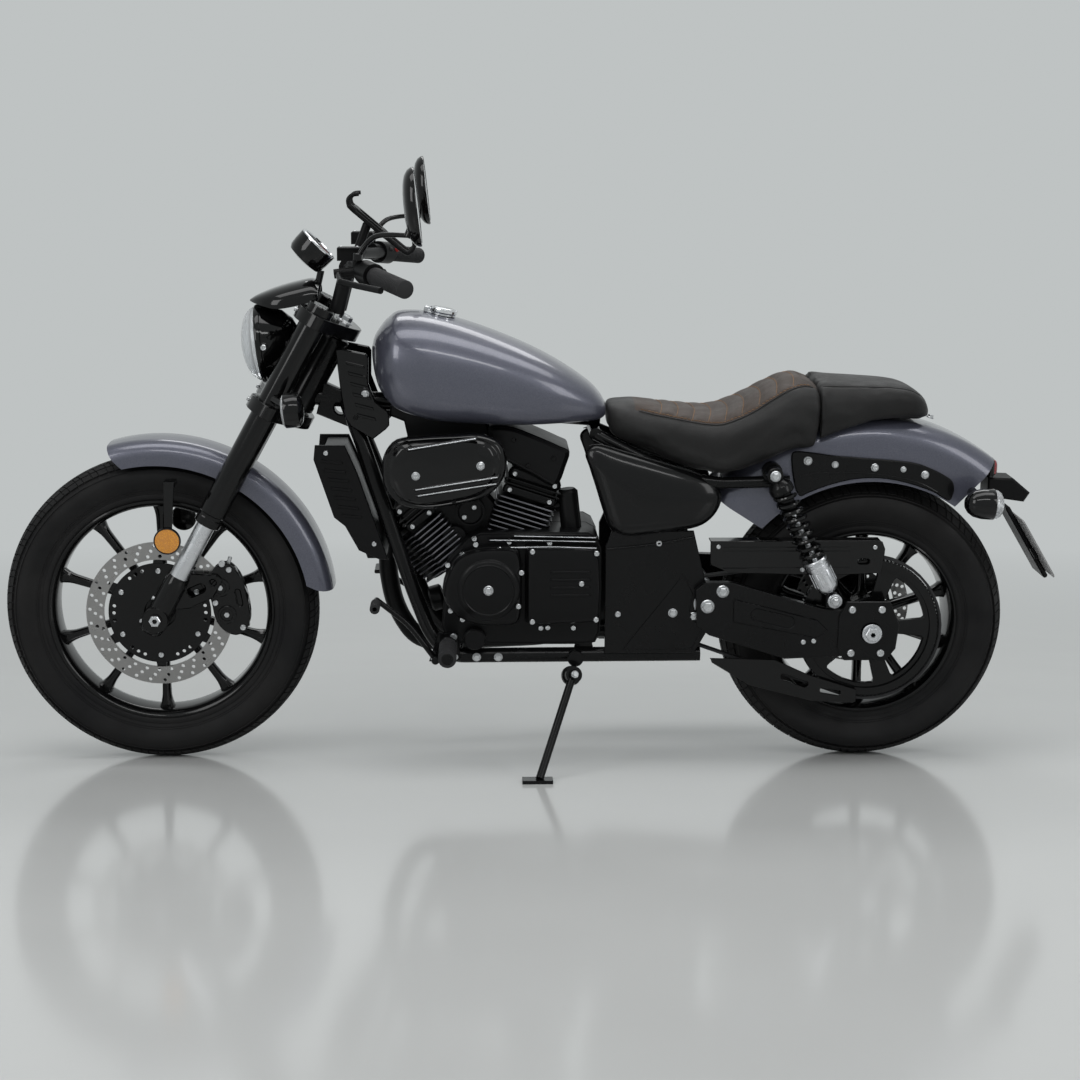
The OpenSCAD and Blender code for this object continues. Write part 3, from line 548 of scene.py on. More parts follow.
RING, ROW, SPOT, COIL = ring_tree(), row_tree(), spot_tree(), coil_tree()


def grown(name, meshes, body, stands_for=(), sharp=35, merge=0.0):
    """One piece from meshes in millimetres, each given as (mesh, place)."""
    bm = bmesh.new()
    materials = []
    for mesh, place in meshes:
        mesh.transform(PARKED @ place)
        start = len(bm.faces)
        bm.from_mesh(mesh)
        bm.faces.ensure_lookup_table()
        for f in bm.faces[start:]:
            m = mesh.materials[f.material_index] if mesh.materials else None
            if m not in materials:
                materials.append(m)
            f.material_index = materials.index(m)
        bpy.data.meshes.remove(mesh)
    if merge:
        bmesh.ops.remove_doubles(bm, verts=bm.verts, dist=merge / 1000)
    bmesh.ops.recalc_face_normals(bm, faces=bm.faces)
    joined = bpy.data.meshes.new(name)
    bm.to_mesh(joined)
    bm.free()
    for m in materials:
        joined.materials.append(m)
    joined.shade_smooth()
    joined.set_sharp_from_angle(angle=math.radians(sharp))
    return settle(new_object(name, joined), body, stands_for)


def repeat(tree, shape, material, host=None, **values):
    """Runs a tree on a shape and gives back its copies, as a mesh in millimetres."""
    pattern = plain_object("pattern", shape)
    mesh = tree.grow(host, Pattern=pattern, Material=material, **values)
    bpy.data.objects.remove(pattern)
    return mesh


def around(shape, count, material):
    """Ring of a shape round local Z."""
    return repeat(RING, shape, material, Count=count)


def in_row(shape, count, pitch, material):
    """Row of a shape up local Z."""
    return repeat(ROW, shape, material, Count=count, Step=(0, 0, pitch))


def on_spots(shape, spots, material):
    """spots: (point, aim, along, size), in millimetres."""
    host = bpy.data.meshes.new("spots")
    host.from_pydata([s[0] for s in spots], [], [])
    for key, at in (("aim", 1), ("along", 2)):
        layer = host.attributes.new(key, "FLOAT_VECTOR", "POINT")
        layer.data.foreach_set("vector", [c for s in spots for c in s[at]])
    layer = host.attributes.new("size", "FLOAT", "POINT")
    layer.data.foreach_set("value", [s[3] for s in spots])
    return repeat(SPOT, shape, material, new_object("spots", host))


def coil(radius, wire, turns, height, material):
    return COIL.grow(Radius=radius, Wire=wire, Turns=turns, Height=height, Material=material)


# ---------------------------------------------------------------- materials


def opaque(colour):
    """Colour with its fourth number; a socket is passed through."""
    return colour if isinstance(colour, bpy.types.NodeSocket) else (*colour, 1)


class Finish:
    """A material whose colour, gloss and grain vary over the surface."""

    def __init__(self, name, **shader):
        self.material = bpy.data.materials.new(name)
        self.material.use_nodes = True
        self.nodes, self.links = self.material.node_tree.nodes, self.material.node_tree.links
        self.shader = self.nodes["Principled BSDF"]
        for key, value in shader.items():
            self.shader.inputs[key.replace("_", " ")].default_value = value
        self.where = self.nodes.new("ShaderNodeTexCoord").outputs["Object"]
        self.bump = None

    def node(self, kind, links, **settings):
        return add_node(self.material.node_tree, kind, links, **settings)

    def noise(self, scale, detail=3.0):
        links = {"Vector": self.where, "Scale": scale, "Detail": detail, "Roughness": 0.5}
        return self.node("ShaderNodeTexNoise", links)["Fac"]

    def spread(self, value, low, high, start=0.3, end=0.7):
        links = {"Value": value, "From Min": start, "From Max": end, "To Min": low, "To Max": high}
        return self.node("ShaderNodeMapRange", links, clamp=True)["Result"]

    def mix(self, share, a, b):
        """Mixes two colours; the node's colour sockets are inputs 6 and 7 and output 2."""
        return self.node("ShaderNodeMix", {0: share, 6: opaque(a), 7: opaque(b)}, data_type="RGBA")[2]

    def tone(self, colour, amount, scale, other=None):
        """Colour that drifts between a darker and a lighter tone."""
        low = [c * (1 - amount) for c in colour]
        high = other or [min(1, c * (1 + amount)) for c in colour]
        return self.base(self.mix(self.spread(self.noise(scale), 0, 1), low, high))

    def base(self, socket):
        self.links.new(socket, self.shader.inputs["Base Color"])
        return self

    def gloss(self, low, high, scale):
        self.links.new(self.spread(self.noise(scale, 4), low, high), self.shader.inputs["Roughness"])
        return self

    def grain(self, height, strength, depth):
        """Bump from a height, depth in millimetres."""
        links = {"Height": height, "Strength": strength, "Distance": depth / 1000}
        if self.bump is not None:
            links["Normal"] = self.bump
        self.bump = self.node("ShaderNodeBump", links)["Normal"]
        self.links.new(self.bump, self.shader.inputs["Normal"])
        return self


def body_paint():
    """Slate metallic under clear lacquer, with fine flake."""
    f = Finish("Slate metallic lacquer", Metallic=0.45, Roughness=0.36, Coat_Weight=0.8, Coat_Roughness=0.06,
               Coat_IOR=1.42)
    flake = f.node("ShaderNodeTexVoronoi", {"Vector": f.where, "Scale": 1400.0})
    bright = f.spread(flake["Color"], 0.0, 1.0, 0.2, 0.95)
    drift = f.mix(f.spread(f.noise(2.5), 0, 1), (0.064, 0.067, 0.094), (0.077, 0.080, 0.109))
    f.base(f.mix(bright, drift, (0.118, 0.121, 0.154)))
    f.gloss(0.28, 0.38, 9)
    return f.grain(flake["Distance"], 0.08, 0.05).material


def black(name, level, rough, coat=0.0, grain=0.0, tint=(1.0, 1.0, 1.06)):
    """Black paint or moulding: level is its lightness, grain the depth of its texture."""
    f = Finish(name, Metallic=0.0, Coat_Weight=coat, Coat_Roughness=0.06, Coat_IOR=1.36,
               Specular_IOR_Level=0.12)
    f.tone([level * t for t in tint], 0.18, 5.0)
    f.gloss(max(0.04, rough - 0.05), rough + 0.07, 14)
    texture = (f.noise(900.0, 2), 0.35, grain) if grain else (f.noise(60.0, 2), 0.04, 0.2)
    return f.grain(*texture).material


def bright(name, colour, rough, scratch=240.0):
    """Bare or plated metal with faint handling marks."""
    f = Finish(name, Metallic=1.0)
    f.tone(colour, 0.06, 8.0)
    f.gloss(max(0.05, rough - 0.06), rough + 0.08, 30)
    return f.grain(f.noise(scratch, 3), 0.025, 0.1).material


def turned(name, colour, centre, rough):
    """Metal ground in circles round a wheel's axle."""
    f = Finish(name, Metallic=1.0)
    spot = PARKED @ Vector(centre)
    lean = math.atan2(-up.y, up.z)
    move = f.node("ShaderNodeVectorMath", {0: f.where, 1: tuple(spot)}, operation="SUBTRACT")
    level = f.node("ShaderNodeVectorRotate", {"Vector": move["Vector"], "Angle": -lean},
                   rotation_type="X_AXIS")
    rings = f.node(
        "ShaderNodeTexWave",
        {"Vector": level["Vector"], "Scale": 190.0, "Distortion": 1.2, "Detail": 2.0, "Detail Scale": 1.0},
        wave_type="RINGS", rings_direction="Y",
    )
    f.base(f.mix(rings["Fac"], [c * 0.86 for c in colour], colour))
    f.gloss(rough - 0.06, rough + 0.08, 40)
    return f.grain(rings["Fac"], 0.15, 0.06).material


def tyre_rubber():
    """Tyre rubber: matt, with a faint dusty tone that drifts at random over it."""
    f = Finish("Tyre rubber", Specular_IOR_Level=0.2)
    f.tone((0.0065, 0.0065, 0.0072), 0.25, 7.0, (0.012, 0.0115, 0.0115))
    f.gloss(0.52, 0.74, 18)
    return f.grain(f.noise(420.0, 3), 0.3, 0.25).material


def soft_rubber():
    f = Finish("Soft grip rubber", Specular_IOR_Level=0.3)
    f.tone((0.016, 0.016, 0.017), 0.2, 12.0)
    f.gloss(0.55, 0.72, 40)
    return f.grain(f.noise(900.0, 2), 0.35, 0.12).material


def hide(name, dark, light, second=None):
    """Grained seat cover. With a second colour, the panel attribute parts the two along the seam."""
    f = Finish(name, Specular_IOR_Level=0.26, Sheen_Weight=0.03, Sheen_Roughness=0.4)
    drift = f.spread(f.noise(9.0, 5), 0, 1, 0.35, 0.65)
    cover = f.mix(drift, dark, light)
    if second:
        panel = f.node("ShaderNodeAttribute", {}, attribute_name="panel")["Fac"]
        edge = f.spread(panel, 0, 1, -0.4, 0.4)
        cover = f.mix(edge, cover, f.mix(drift, *second))
    cells = f.node(
        "ShaderNodeTexVoronoi", {"Vector": f.where, "Scale": 420.0}, feature="DISTANCE_TO_EDGE"
    )
    # the creases between the grain's cells are painted darker: painted shade in the creases
    f.base(f.mix(f.spread(cells["Distance"], 1, 0, 0.0, 0.09), cover, [c * 0.55 for c in dark]))
    f.gloss(0.42, 0.6, 26)
    f.grain(f.spread(cells["Distance"], 0, 1, 0.0, 0.16), 0.3, 0.35)
    return f.grain(f.noise(45.0, 4), 0.12, 0.8).material


def clear(name, colour, rough=0.03, ripple=90.0):
    """Clear or tinted lamp glass."""
    f = Finish(name, Base_Color=opaque(colour), Roughness=rough, Transmission_Weight=0.62, IOR=1.45)
    f.gloss(rough, rough + 0.03, 20)
    return f.grain(f.noise(ripple, 1), 0.08, 0.2).material


def glowing_lens(name, colour, deep):
    """Moulded reflector lens: bright cells under a smooth face."""
    f = Finish(name, Roughness=0.12, Coat_Weight=1.0, Coat_Roughness=0.03, Specular_IOR_Level=0.6)
    cells = f.node("ShaderNodeTexVoronoi", {"Vector": f.where, "Scale": 380.0})
    f.base(f.mix(f.spread(cells["Distance"], 0, 1, 0.05, 0.6), colour, deep))
    f.gloss(0.1, 0.2, 30)
    return f.grain(cells["Distance"], 0.25, 0.4).material


SADDLE_BLACK = (0.008, 0.0078, 0.0078), (0.013, 0.0125, 0.0125)
SADDLE_BROWN = (0.028, 0.0155, 0.0095), (0.044, 0.025, 0.0155)
DISC_STEEL = (0.33, 0.325, 0.32)

M = {
    "paint": body_paint(),
    "frame": black("Satin black frame", 0.0035, 0.26, 0.25),
    "engine": black("Engine black", 0.0045, 0.34, 0.10, 0.12),
    "fins": black("Fin black", 0.005, 0.36, 0.08, 0.08),
    "gloss": black("Gloss black", 0.0025, 0.10, 0.7),
    "satin": black("Satin black moulding", 0.005, 0.38, 0.0, 0.10),
    "cover": black("Side cover black", 0.0035, 0.22, 0.5, 0.05),
    "pipe": black("Exhaust black", 0.0045, 0.38, 0.05, 0.08),
    "wheel": black("Wheel black", 0.003, 0.18, 0.5),
    "fork": black("Fork black", 0.0025, 0.14, 0.6),
    "rubber": soft_rubber(),
    "tyre": tyre_rubber(),
    "metal": bright("Satin bright metal", (0.62, 0.63, 0.65), 0.26),
    "chrome": bright("Plated metal", (0.78, 0.79, 0.81), 0.12),
    "steel": bright("Zinc bolt", (0.56, 0.57, 0.58), 0.3),
    # painted highlight: a lighter metal on the fin edges stands in for the light lines along the fins
    "fin_edge_highlight": bright("Painted highlight fin edge", (0.17, 0.17, 0.185), 0.34),
    "mirror": bright("Mirror glass", (0.86, 0.88, 0.90), 0.05, 4.0),
    "front_steel": turned("Front disc steel", DISC_STEEL, (0, 0, FRONT_R), 0.3),
    "rear_steel": turned("Rear disc steel", DISC_STEEL, (REAR_X, 0, REAR_R), 0.32),
    "seat": hide("Saddle hide", *SADDLE_BLACK, SADDLE_BROWN),
    "pillion": hide("Pillion hide", *SADDLE_BLACK),
    "thread": black("Tan thread", 0.24, 0.6, 0.0, 0.1, tint=(1.0, 0.60, 0.34)),
    "glass": clear("Clear lens", (0.96, 0.98, 1.0)),
    "lamp": clear("Ribbed lamp lens", (0.80, 0.82, 0.84), 0.16, 160.0),
    "red": glowing_lens("Red lens", (0.50, 0.012, 0.02), (0.16, 0.004, 0.008)),
    "amber": glowing_lens("Amber reflector", (0.78, 0.35, 0.006), (0.56, 0.20, 0.002)),
    "tag": black("Yellow tag", 0.62, 0.5, 0.2, 0.0, tint=(0.72, 1.0, 0.06)),
    "knob": black("Red switch", 0.3, 0.4, 0.2, 0.0, tint=(1.0, 0.07, 0.06)),
    "dial": black("Dial face", 0.02, 0.4, 0.0, 0.0),
    "plate": black("Blank plate", 0.30, 0.34, 0.3, 0.0, tint=(1.0, 1.0, 1.0)),
}

# ---------------------------------------------------------------- stage


EYE_AT, EYE_PITCH, EYE_YAW = (-0.1011, -4.1165, 0.8455), 84.654, -1.693  # metres, degrees
EYE_LENS, EYE_FILM = 68.03, 36  # mm
BACKDROP = (0.520, 0.545, 0.545)
SKY_LIGHT = 0.42  # what the world gives the object, against 1 where it is seen
FLOOR_HALF, FLOOR_FADE = 30, (1.9, 5.0)  # metres; the fade runs from and to a distance from the middle


def make_stage():
    camera = bpy.data.cameras.new("Camera")
    camera.lens, camera.sensor_width = EYE_LENS, EYE_FILM
    eye = new_object("Camera", camera)
    eye.location = EYE_AT
    eye.rotation_euler = (math.radians(EYE_PITCH), 0, math.radians(EYE_YAW))
    bpy.context.scene.camera = eye
    bpy.context.scene.view_settings.view_transform = "Standard"

    world = bpy.data.worlds.new("Studio")
    bpy.context.scene.world = world
    world.use_nodes = True
    tree = world.node_tree
    ray = add_node(tree, "ShaderNodeLightPath", {})
    seen = ray["Is Camera Ray"]
    for kind in ("Is Transmission Ray", "Is Glossy Ray"):
        seen = add_node(tree, "ShaderNodeMath", {0: seen, 1: ray[kind]}, operation="MAXIMUM")[0]
    pick = add_node(tree, "ShaderNodeMix", {0: seen, 2: SKY_LIGHT, 3: 1.0})[0]
    sky = tree.nodes["Background"].inputs
    sky["Color"].default_value = opaque(BACKDROP)
    tree.links.new(pick, sky["Strength"])

    def softbox(name, at, size, power):
        lamp = bpy.data.lights.new(name, "AREA")
        lamp.shape = "RECTANGLE"
        lamp.size, lamp.size_y = size
        lamp.energy = power
        holder = new_object(name, lamp)
        holder.location = at
        holder.rotation_euler = (Vector((0, 0, 0.5)) - Vector(at)).to_track_quat("-Z", "Y").to_euler()

    softbox("Overhead", (0.1, -0.5, 3.3), (4.2, 1.1), 46)
    softbox("High front", (0.2, -3.4, 3.2), (3.4, 0.36), 30)
    softbox("Front left", (-3.1, -3.0, 2.3), (1.5, 2.2), 44)
    softbox("Front right", (3.2, -2.8, 2.0), (1.2, 2.2), 30)
    softbox("Behind", (0.4, 3.0, 4.3), (3.6, 1.2), 46)

    # a pale polished floor that runs out into the backdrop
    floor = new_object("Floor", bpy.data.meshes.new("Floor"))
    r = FLOOR_HALF
    floor.data.from_pydata([(-r, -r, 0), (r, -r, 0), (r, r, 0), (-r, r, 0)], [], [(0, 1, 2, 3)])
    look = Finish("Pale floor", Specular_IOR_Level=0.5)
    look.tone((0.62, 0.63, 0.625), 0.02, 1.5)
    look.gloss(0.10, 0.14, 3)
    away = look.node("ShaderNodeVectorMath", {0: look.where}, operation="LENGTH")["Value"]
    fade = look.spread(away, 0, 1, *FLOOR_FADE)
    far = look.node("ShaderNodeEmission", {"Color": opaque(BACKDROP), "Strength": 1.0})["Emission"]
    out = look.nodes["Material Output"]
    mixed = look.node("ShaderNodeMixShader", {0: fade, 1: look.shader.outputs[0], 2: far})
    look.links.new(mixed[0], out.inputs["Surface"])
    floor.data.materials.append(look.material)


make_stage()

# ---------------------------------------------------------------- tank, fenders and covers

TANK = [
    # x, top, bottom, half width, tunnel half width, tunnel roof
    (437, 864, 838, 30, 8, 839), (442, 880, 812, 66, 10, 814), (452, 896, 784, 98, 14, 787),
    (468, 914, 762, 120, 20, 784), (494, 928, 742, 136, 26, 784), (556, 925, 724, 146, 28, 780),
    (640, 903, 716, 143, 28, 773), (740, 864, 712, 130, 28, 765), (812, 827, 713, 112, 28, 758),
    (870, 788, 715, 88, 28, 752), (894, 764, 718, 70, 26, 744), (904, 748, 724, 54, 24, 738),
]


TANK_SECTION = 2.5, 0.42, 0.28  # squareness, height of the widest line, pull-in of the lower side
TANK_SHARP = 42


def saddle_ring(s, square, belly, tuck, steps=40, low_steps=10):
    """Section at one x: crowned top, sides pulled in below and a square tunnel underneath."""
    x, top, low, half, tunnel, roof = s
    mid = low + belly * (top - low)
    e = 2 / square
    ring = []
    for k in range(steps + 1):
        a = math.pi * k / steps
        c, v = math.cos(a), max(0.0, math.sin(a))
        ring.append((x, -half * math.copysign(abs(c) ** e, c), mid + (top - mid) * v**e))
    down = [math.pi / 2 * k / low_steps for k in range(1, low_steps + 1)]
    side = [(half * (1 - tuck * (1 - math.cos(a))), mid - (mid - low) * math.sin(a)) for a in down]
    ring += [(x, y, z) for y, z in side]
    ring += [(x, tunnel, low), (x, tunnel, roof), (x, -tunnel, roof), (x, -tunnel, low)]
    ring += [(x, -y, z) for y, z in reversed(side)]
    return ring


def fuel_tank():
    s = Shape()
    s.loft([saddle_ring(q, *TANK_SECTION) for q in spline(TANK, 8)])
    tank = piece("fuel_tank_shell", s, "chassis", M["paint"], ("fuel_tank",), TANK_SHARP)
    bore = Shape()
    bore.lathe([(0, -60), (23.2, -60), (23.2, 60), (0, 60)], CAP, 64)
    bore.lathe([(0, -0.6), (31.1, -0.6), (31.1, 60), (0, 60)], CAP, 64)
    cutter = plain_object("cutter", bore)
    cutter.data.transform(PARKED)
    cut = tank.modifiers.new("Filler", "BOOLEAN")
    cut.object, cut.operation, cut.solver, cut.use_self = cutter, "DIFFERENCE", "EXACT", True
    mesh = bpy.data.meshes.new_from_object(tank.evaluated_get(bpy.context.evaluated_depsgraph_get()))
    tank.modifiers.remove(cut)
    bpy.data.objects.remove(cutter)
    tank.data = mesh
    mesh.set_sharp_from_angle(angle=math.radians(TANK_SHARP))
    # welded lip along the lower edge of each side
    lip = Shape()
    for side in (-1, 1):
        line = []
        for q in spline(TANK[3:-1], 5):
            ring = saddle_ring(q, *TANK_SECTION)
            y, z = ring[-14][1:] if side < 0 else ring[46][1:]
            line.append((q[0], y, z))
        line = [(q[0], side * abs(q[1]), q[2]) for q in line]
        lip.sweep(line, 1.9, sides=8)
    piece("fuel_tank_lip", lip, "chassis", M["paint"])


def fender_skin(radius, edge, half, shoulder, wall, start, end, steps, tip):
    """Mudguard shell in a wheel's turning plane, whose two ends are cut round by tip degrees."""
    bend = [(edge, half), (edge + 8, half)]
    for k in range(13):
        a = math.pi / 2 * k / 12
        bend.append((radius - shoulder + shoulder * math.sin(a), half - shoulder + shoulder * math.cos(a)))
    flat = half - shoulder
    crown = [(radius + 1.5 * math.cos(math.pi * (y / flat) / 2), y) for y in (flat * 0.5, 0)]
    halfway = bend + crown
    outer = halfway + [(r, -y) for r, y in reversed(halfway[:-1])]

    def inner(points):
        out = []
        for i, (r, y) in enumerate(points):
            a, b = points[max(i - 1, 0)], points[min(i + 1, len(points) - 1)]
            d = Vector((b[0] - a[0], b[1] - a[1])).normalized()
            out.append((r + d.y * wall, y - d.x * wall))
        return out

    ring = outer + inner(outer)[::-1]
    rings = []
    for i in range(steps + 1):
        t = i / steps
        here = []
        for r, y in ring:
            back = tip * max(0.0, (radius - r) / (radius - edge)) ** 2.2
            a = math.radians(start + back + (end - start - 2 * back) * t)
            here.append((r * math.cos(a), y, r * math.sin(a)))
        rings.append(here)
    return rings


def bead(shape, hub_x, hub_z, r, y, start, end, thick):
    """Rolled bead along both lower edges of a fender, from one angle to another."""
    arc = [math.radians(start + (end - start) * k / 40) for k in range(41)]
    for side in (-1, 1):
        shape.sweep([(hub_x + r * math.cos(a), side * y, hub_z + r * math.sin(a)) for a in arc], thick,
                    sides=8)


def fenders():
    s = Shape()
    s.loft(fender_skin(355, 305, 68, 34, 2.6, 7.3, 105.7, 70, 3.5), place=shift(0, 0, FRONT_R))
    bead(s, 0, FRONT_R, 306.5, 66.2, 11, 102, 1.8)
    s.both(lambda side: s.block((-70, side * 70 - 2.6, 263), (-30, side * 70 + 2.6, 287), FORK))
    piece("front_fender_shell", s, "steering", M["paint"], ("front_fender",), sharp=40)
    r = Shape()
    r.loft(fender_skin(424, 301, 98, 46, 2.8, 53.5, 139.5, 70, 2.5), place=shift(REAR_X, 0, REAR_R))
    bead(r, REAR_X, REAR_R, 303, 95.8, 57, 136, 2.0)
    piece("rear_fender_shell", r, "chassis", M["paint"], ("rear_fender",), sharp=40)


COVER = [(861, 656), (873, 671), (892, 673), (945, 657), (1020, 635), (1085, 615), (1118, 598), (1134, 575),
         (1131, 549), (1114, 524), (1088, 508), (1048, 500), (1000, 494), (952, 489), (922, 496), (907, 514),
         (895, 548), (882, 590), (869, 630)]


def side_covers():
    s = Shape()
    flat = [(x, -z) for x, z in closed_curve(COVER)]

    def cover(side):
        levels = [(0.96, 108), (0.99, 109), (1.0, 111.5), (0.99, 115.5), (0.965, 119.5), (0.925, 123.5),
                  (0.87, 127.3), (0.8, 130.9), (0.71, 134.2), (0.6, 137.1), (0.47, 139.4), (0.32, 141),
                  (0.16, 141.8), (0.02, 142)]
        place = ACROSS if side > 0 else ACROSS_LEFT
        # the crown sits low, so that the upper half faces a little upwards
        mid = sum((Vector(p) for p in flat), Vector((0, 0))) / len(flat)
        rings = []
        for share, height in levels:
            sag = 34 * (1 - share)
            rings.append([(mid.x + (x - mid.x) * share, mid.y + (z - mid.y) * share + sag, height) for x,
                          z in flat])
        s.loft(rings, 0, place)
        for x in (930, 1060):
            s.rod((x, side * 108, 560), (x, side * 128, 560), 11)

    s.both(cover)
    # rolled edge along the upper side
    for side in (-1, 1):
        line = spline([(868, side * 112, 672), (892, side * 112.5, 674), (945, side * 112.5, 658),
                       (1020, side * 112.5, 636), (1085, side * 112.5, 616), (1120, side * 112, 598)], 8)
        s.sweep(line, lambda t: 2.4 * math.sin(math.pi * min(1, max(0.02, t))) ** 0.5 + 0.2, sides=10)
    piece("side_cover_panels", s, "chassis", M["cover"], ("side_covers",), sharp=50)


# ---------------------------------------------------------------- seats

RIDER = [
    (910, 750, 696, 64, 20, 697), (934, 753, 684, 84, 30, 685), (990, 741, 663, 110, 50, 664),
    (1042, 734, 640, 129, 70, 642), (1095, 728, 626, 145, 90, 629), (1131, 729, 622, 153, 101, 628),
    (1165, 740, 628, 155, 101, 631), (1200, 756, 639, 154, 101, 640), (1235, 776, 652, 149, 101, 653),
    (1280, 798, 669, 139, 101, 670), (1323, 799, 673, 129, 101, 674),
]
PILLION = [
    (1327, 799, 678, 127, 101, 700), (1353, 793, 690, 123, 101, 712), (1427, 788, 714, 115, 101, 722),
    (1480, 784, 720, 107, 99, 725), (1512, 778, 722, 99, 60, 723), (1532, 768, 721, 89, 50, 722),
    (1548, 754, 718, 75, 40, 719), (1557, 737, 715, 58, 30, 716), (1562, 723, 713, 38, 20, 714),
]


PAD_CELL = 6.0  # mm between the points of a pad
SWELL_FRAMES, SWELL_PRESSURE = 20, 4.0
PANEL_START, PLEAT_START, PLEAT_END = 962, 990, 1318
PLEATS = [1020 + 33 * k for k in range(9)]
PLEAT_BOW = 0.0011  # how much further forward a pleat runs away from the middle, per mm squared
PIPING_SHARE = 0.74  # where the pillion's piping runs, as a share of its half width
BESIDE_PANEL = -20  # panel attribute well outside the brown panel, mm
UNPARK = PARKED.inverted()


def simulate(made, cap):
    """Swells a pad with Cloth under pressure, and caps how far any point may move."""
    mesh = made.data
    remesh = made.modifiers.new("Remesh", "REMESH")
    remesh.mode, remesh.voxel_size = "VOXEL", PAD_CELL / 1000
    graph = bpy.context.evaluated_depsgraph_get()
    even = bpy.data.meshes.new_from_object(made.evaluated_get(graph))
    made.modifiers.remove(remesh)
    made.data = even
    bpy.data.meshes.remove(mesh)
    rest = [v.co.copy() for v in even.vertices]
    cloth = made.modifiers.new("Cloth", "CLOTH")
    cloth.settings.use_pressure = True
    cloth.settings.uniform_pressure_force = SWELL_PRESSURE
    cloth.settings.effector_weights.gravity = 0.0
    cloth.settings.quality = 5
    cloth.point_cache.frame_start, cloth.point_cache.frame_end = 1, SWELL_FRAMES
    for f in range(1, SWELL_FRAMES + 1):
        bpy.context.scene.frame_set(f)
    graph = bpy.context.evaluated_depsgraph_get()
    swollen = made.evaluated_get(graph).data
    moved = [v.co.copy() for v in swollen.vertices]
    made.modifiers.remove(cloth)
    bpy.context.scene.frame_set(1)
    for v, a, b in zip(even.vertices, rest, moved):
        step = b - a
        if step.length > cap / 1000:
            step *= cap / 1000 / step.length
        v.co = a + step


def seat_line(x, stations=RIDER):
    """Top, bottom and half width of the seat at x."""
    for a, b in zip(stations, stations[1:]):
        if a[0] <= x <= b[0]:
            t = (x - a[0]) / (b[0] - a[0])
            return [p + (q - p) * t for p, q in zip(a[1:4], b[1:4])]
    return stations[0][1:4] if x < stations[0][0] else stations[-1][1:4]


def panel_half(x):
    """Half width of the brown top panel of the seat."""
    return seat_line(x)[2] * (0.70 + 0.10 * math.sin(math.pi * min(1, max(0, (x - 908) / 417))))


def smooth(mesh, rounds):
    bm = bmesh.new()
    bm.from_mesh(mesh)
    for _ in range(rounds):
        bmesh.ops.smooth_vert(bm, verts=bm.verts, factor=0.5, use_axis_x=True, use_axis_y=True,
                              use_axis_z=True)
    bm.to_mesh(mesh)
    bm.free()


def groove(away, width, depth):
    """How far a sewn line pulls the cover in at a distance from it."""
    return depth * (1 - away / width) ** 2 if away < width else 0.0


def seat_pad(name, stations, cap, node, material):
    s = Shape()
    s.loft([saddle_ring(q, 3.0, 0.55, 0.1, 28, 6) for q in spline(stations, 4)])
    pad = plain_object(name, s)
    pad.data.transform(PARKED)
    simulate(pad, cap)
    smooth(pad.data, 3)
    layer = pad.data.attributes.new("panel", "FLOAT", "POINT")
    marks = []
    for v in pad.data.vertices:
        p = UNPARK @ v.co
        top, bottom, half = seat_line(min(p.x, stations[-1][0]), stations)
        if node == "rider_seat":
            seam = panel_half(p.x)
            on_top = p.z > top - 0.42 * (top - bottom)
            inside_by = min(seam - abs(p.y), p.x - PANEL_START, 60)
            marks.append(inside_by if on_top else BESIDE_PANEL)
            if on_top and PLEAT_START < p.x < PLEAT_END:
                # sewn channels across the panel, which fade out at the seam
                share = min(1, max(0, inside_by / 14))
                for x in PLEATS:
                    p.z -= groove(abs(p.x - x + PLEAT_BOW * p.y * p.y), 12, 3.4 * share)
            # the panel sinks a little at its own seam
            if on_top and p.x > PANEL_START:
                p.z -= groove(abs(seam - abs(p.y)), 9, 2.2)
        else:
            marks.append(BESIDE_PANEL)
            if p.z > top - 26:
                p.z -= groove(abs(abs(p.y) - half * PIPING_SHARE), 9, 2.0)
        v.co = PARKED @ p
    layer.data.foreach_set("value", marks)
    pad.data.materials.clear()
    pad.data.materials.append(material)
    pad.data.shade_smooth()
    round_off = pad.modifiers.new("Subdivision", "SUBSURF")
    round_off.levels = round_off.render_levels = 1
    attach(pad, "chassis")
    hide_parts(node)
    return pad


def drop_on(pad, x, y):
    """Place on the pad's top at x and y, and its normal, in the bike frame."""
    above = PARKED @ Vector((x, y, 860))
    down = (PARKED @ Vector((x, y, 850)) - above).normalized()
    hit, at, normal, _ = pad.ray_cast(above, down)
    if not hit:
        return Vector((x, y, seat_line(x)[0])), Vector((0, 0, 1))
    return UNPARK @ at, (UNPARK.to_3x3() @ normal).normalized()


def stitch():
    s = Shape()
    s.sweep([(-2.6, 0, -0.5), (-1.6, 0, 0.45), (0, 0, 0.7), (1.6, 0, 0.45), (2.6, 0, -0.5)], 0.62, sides=6)
    return s


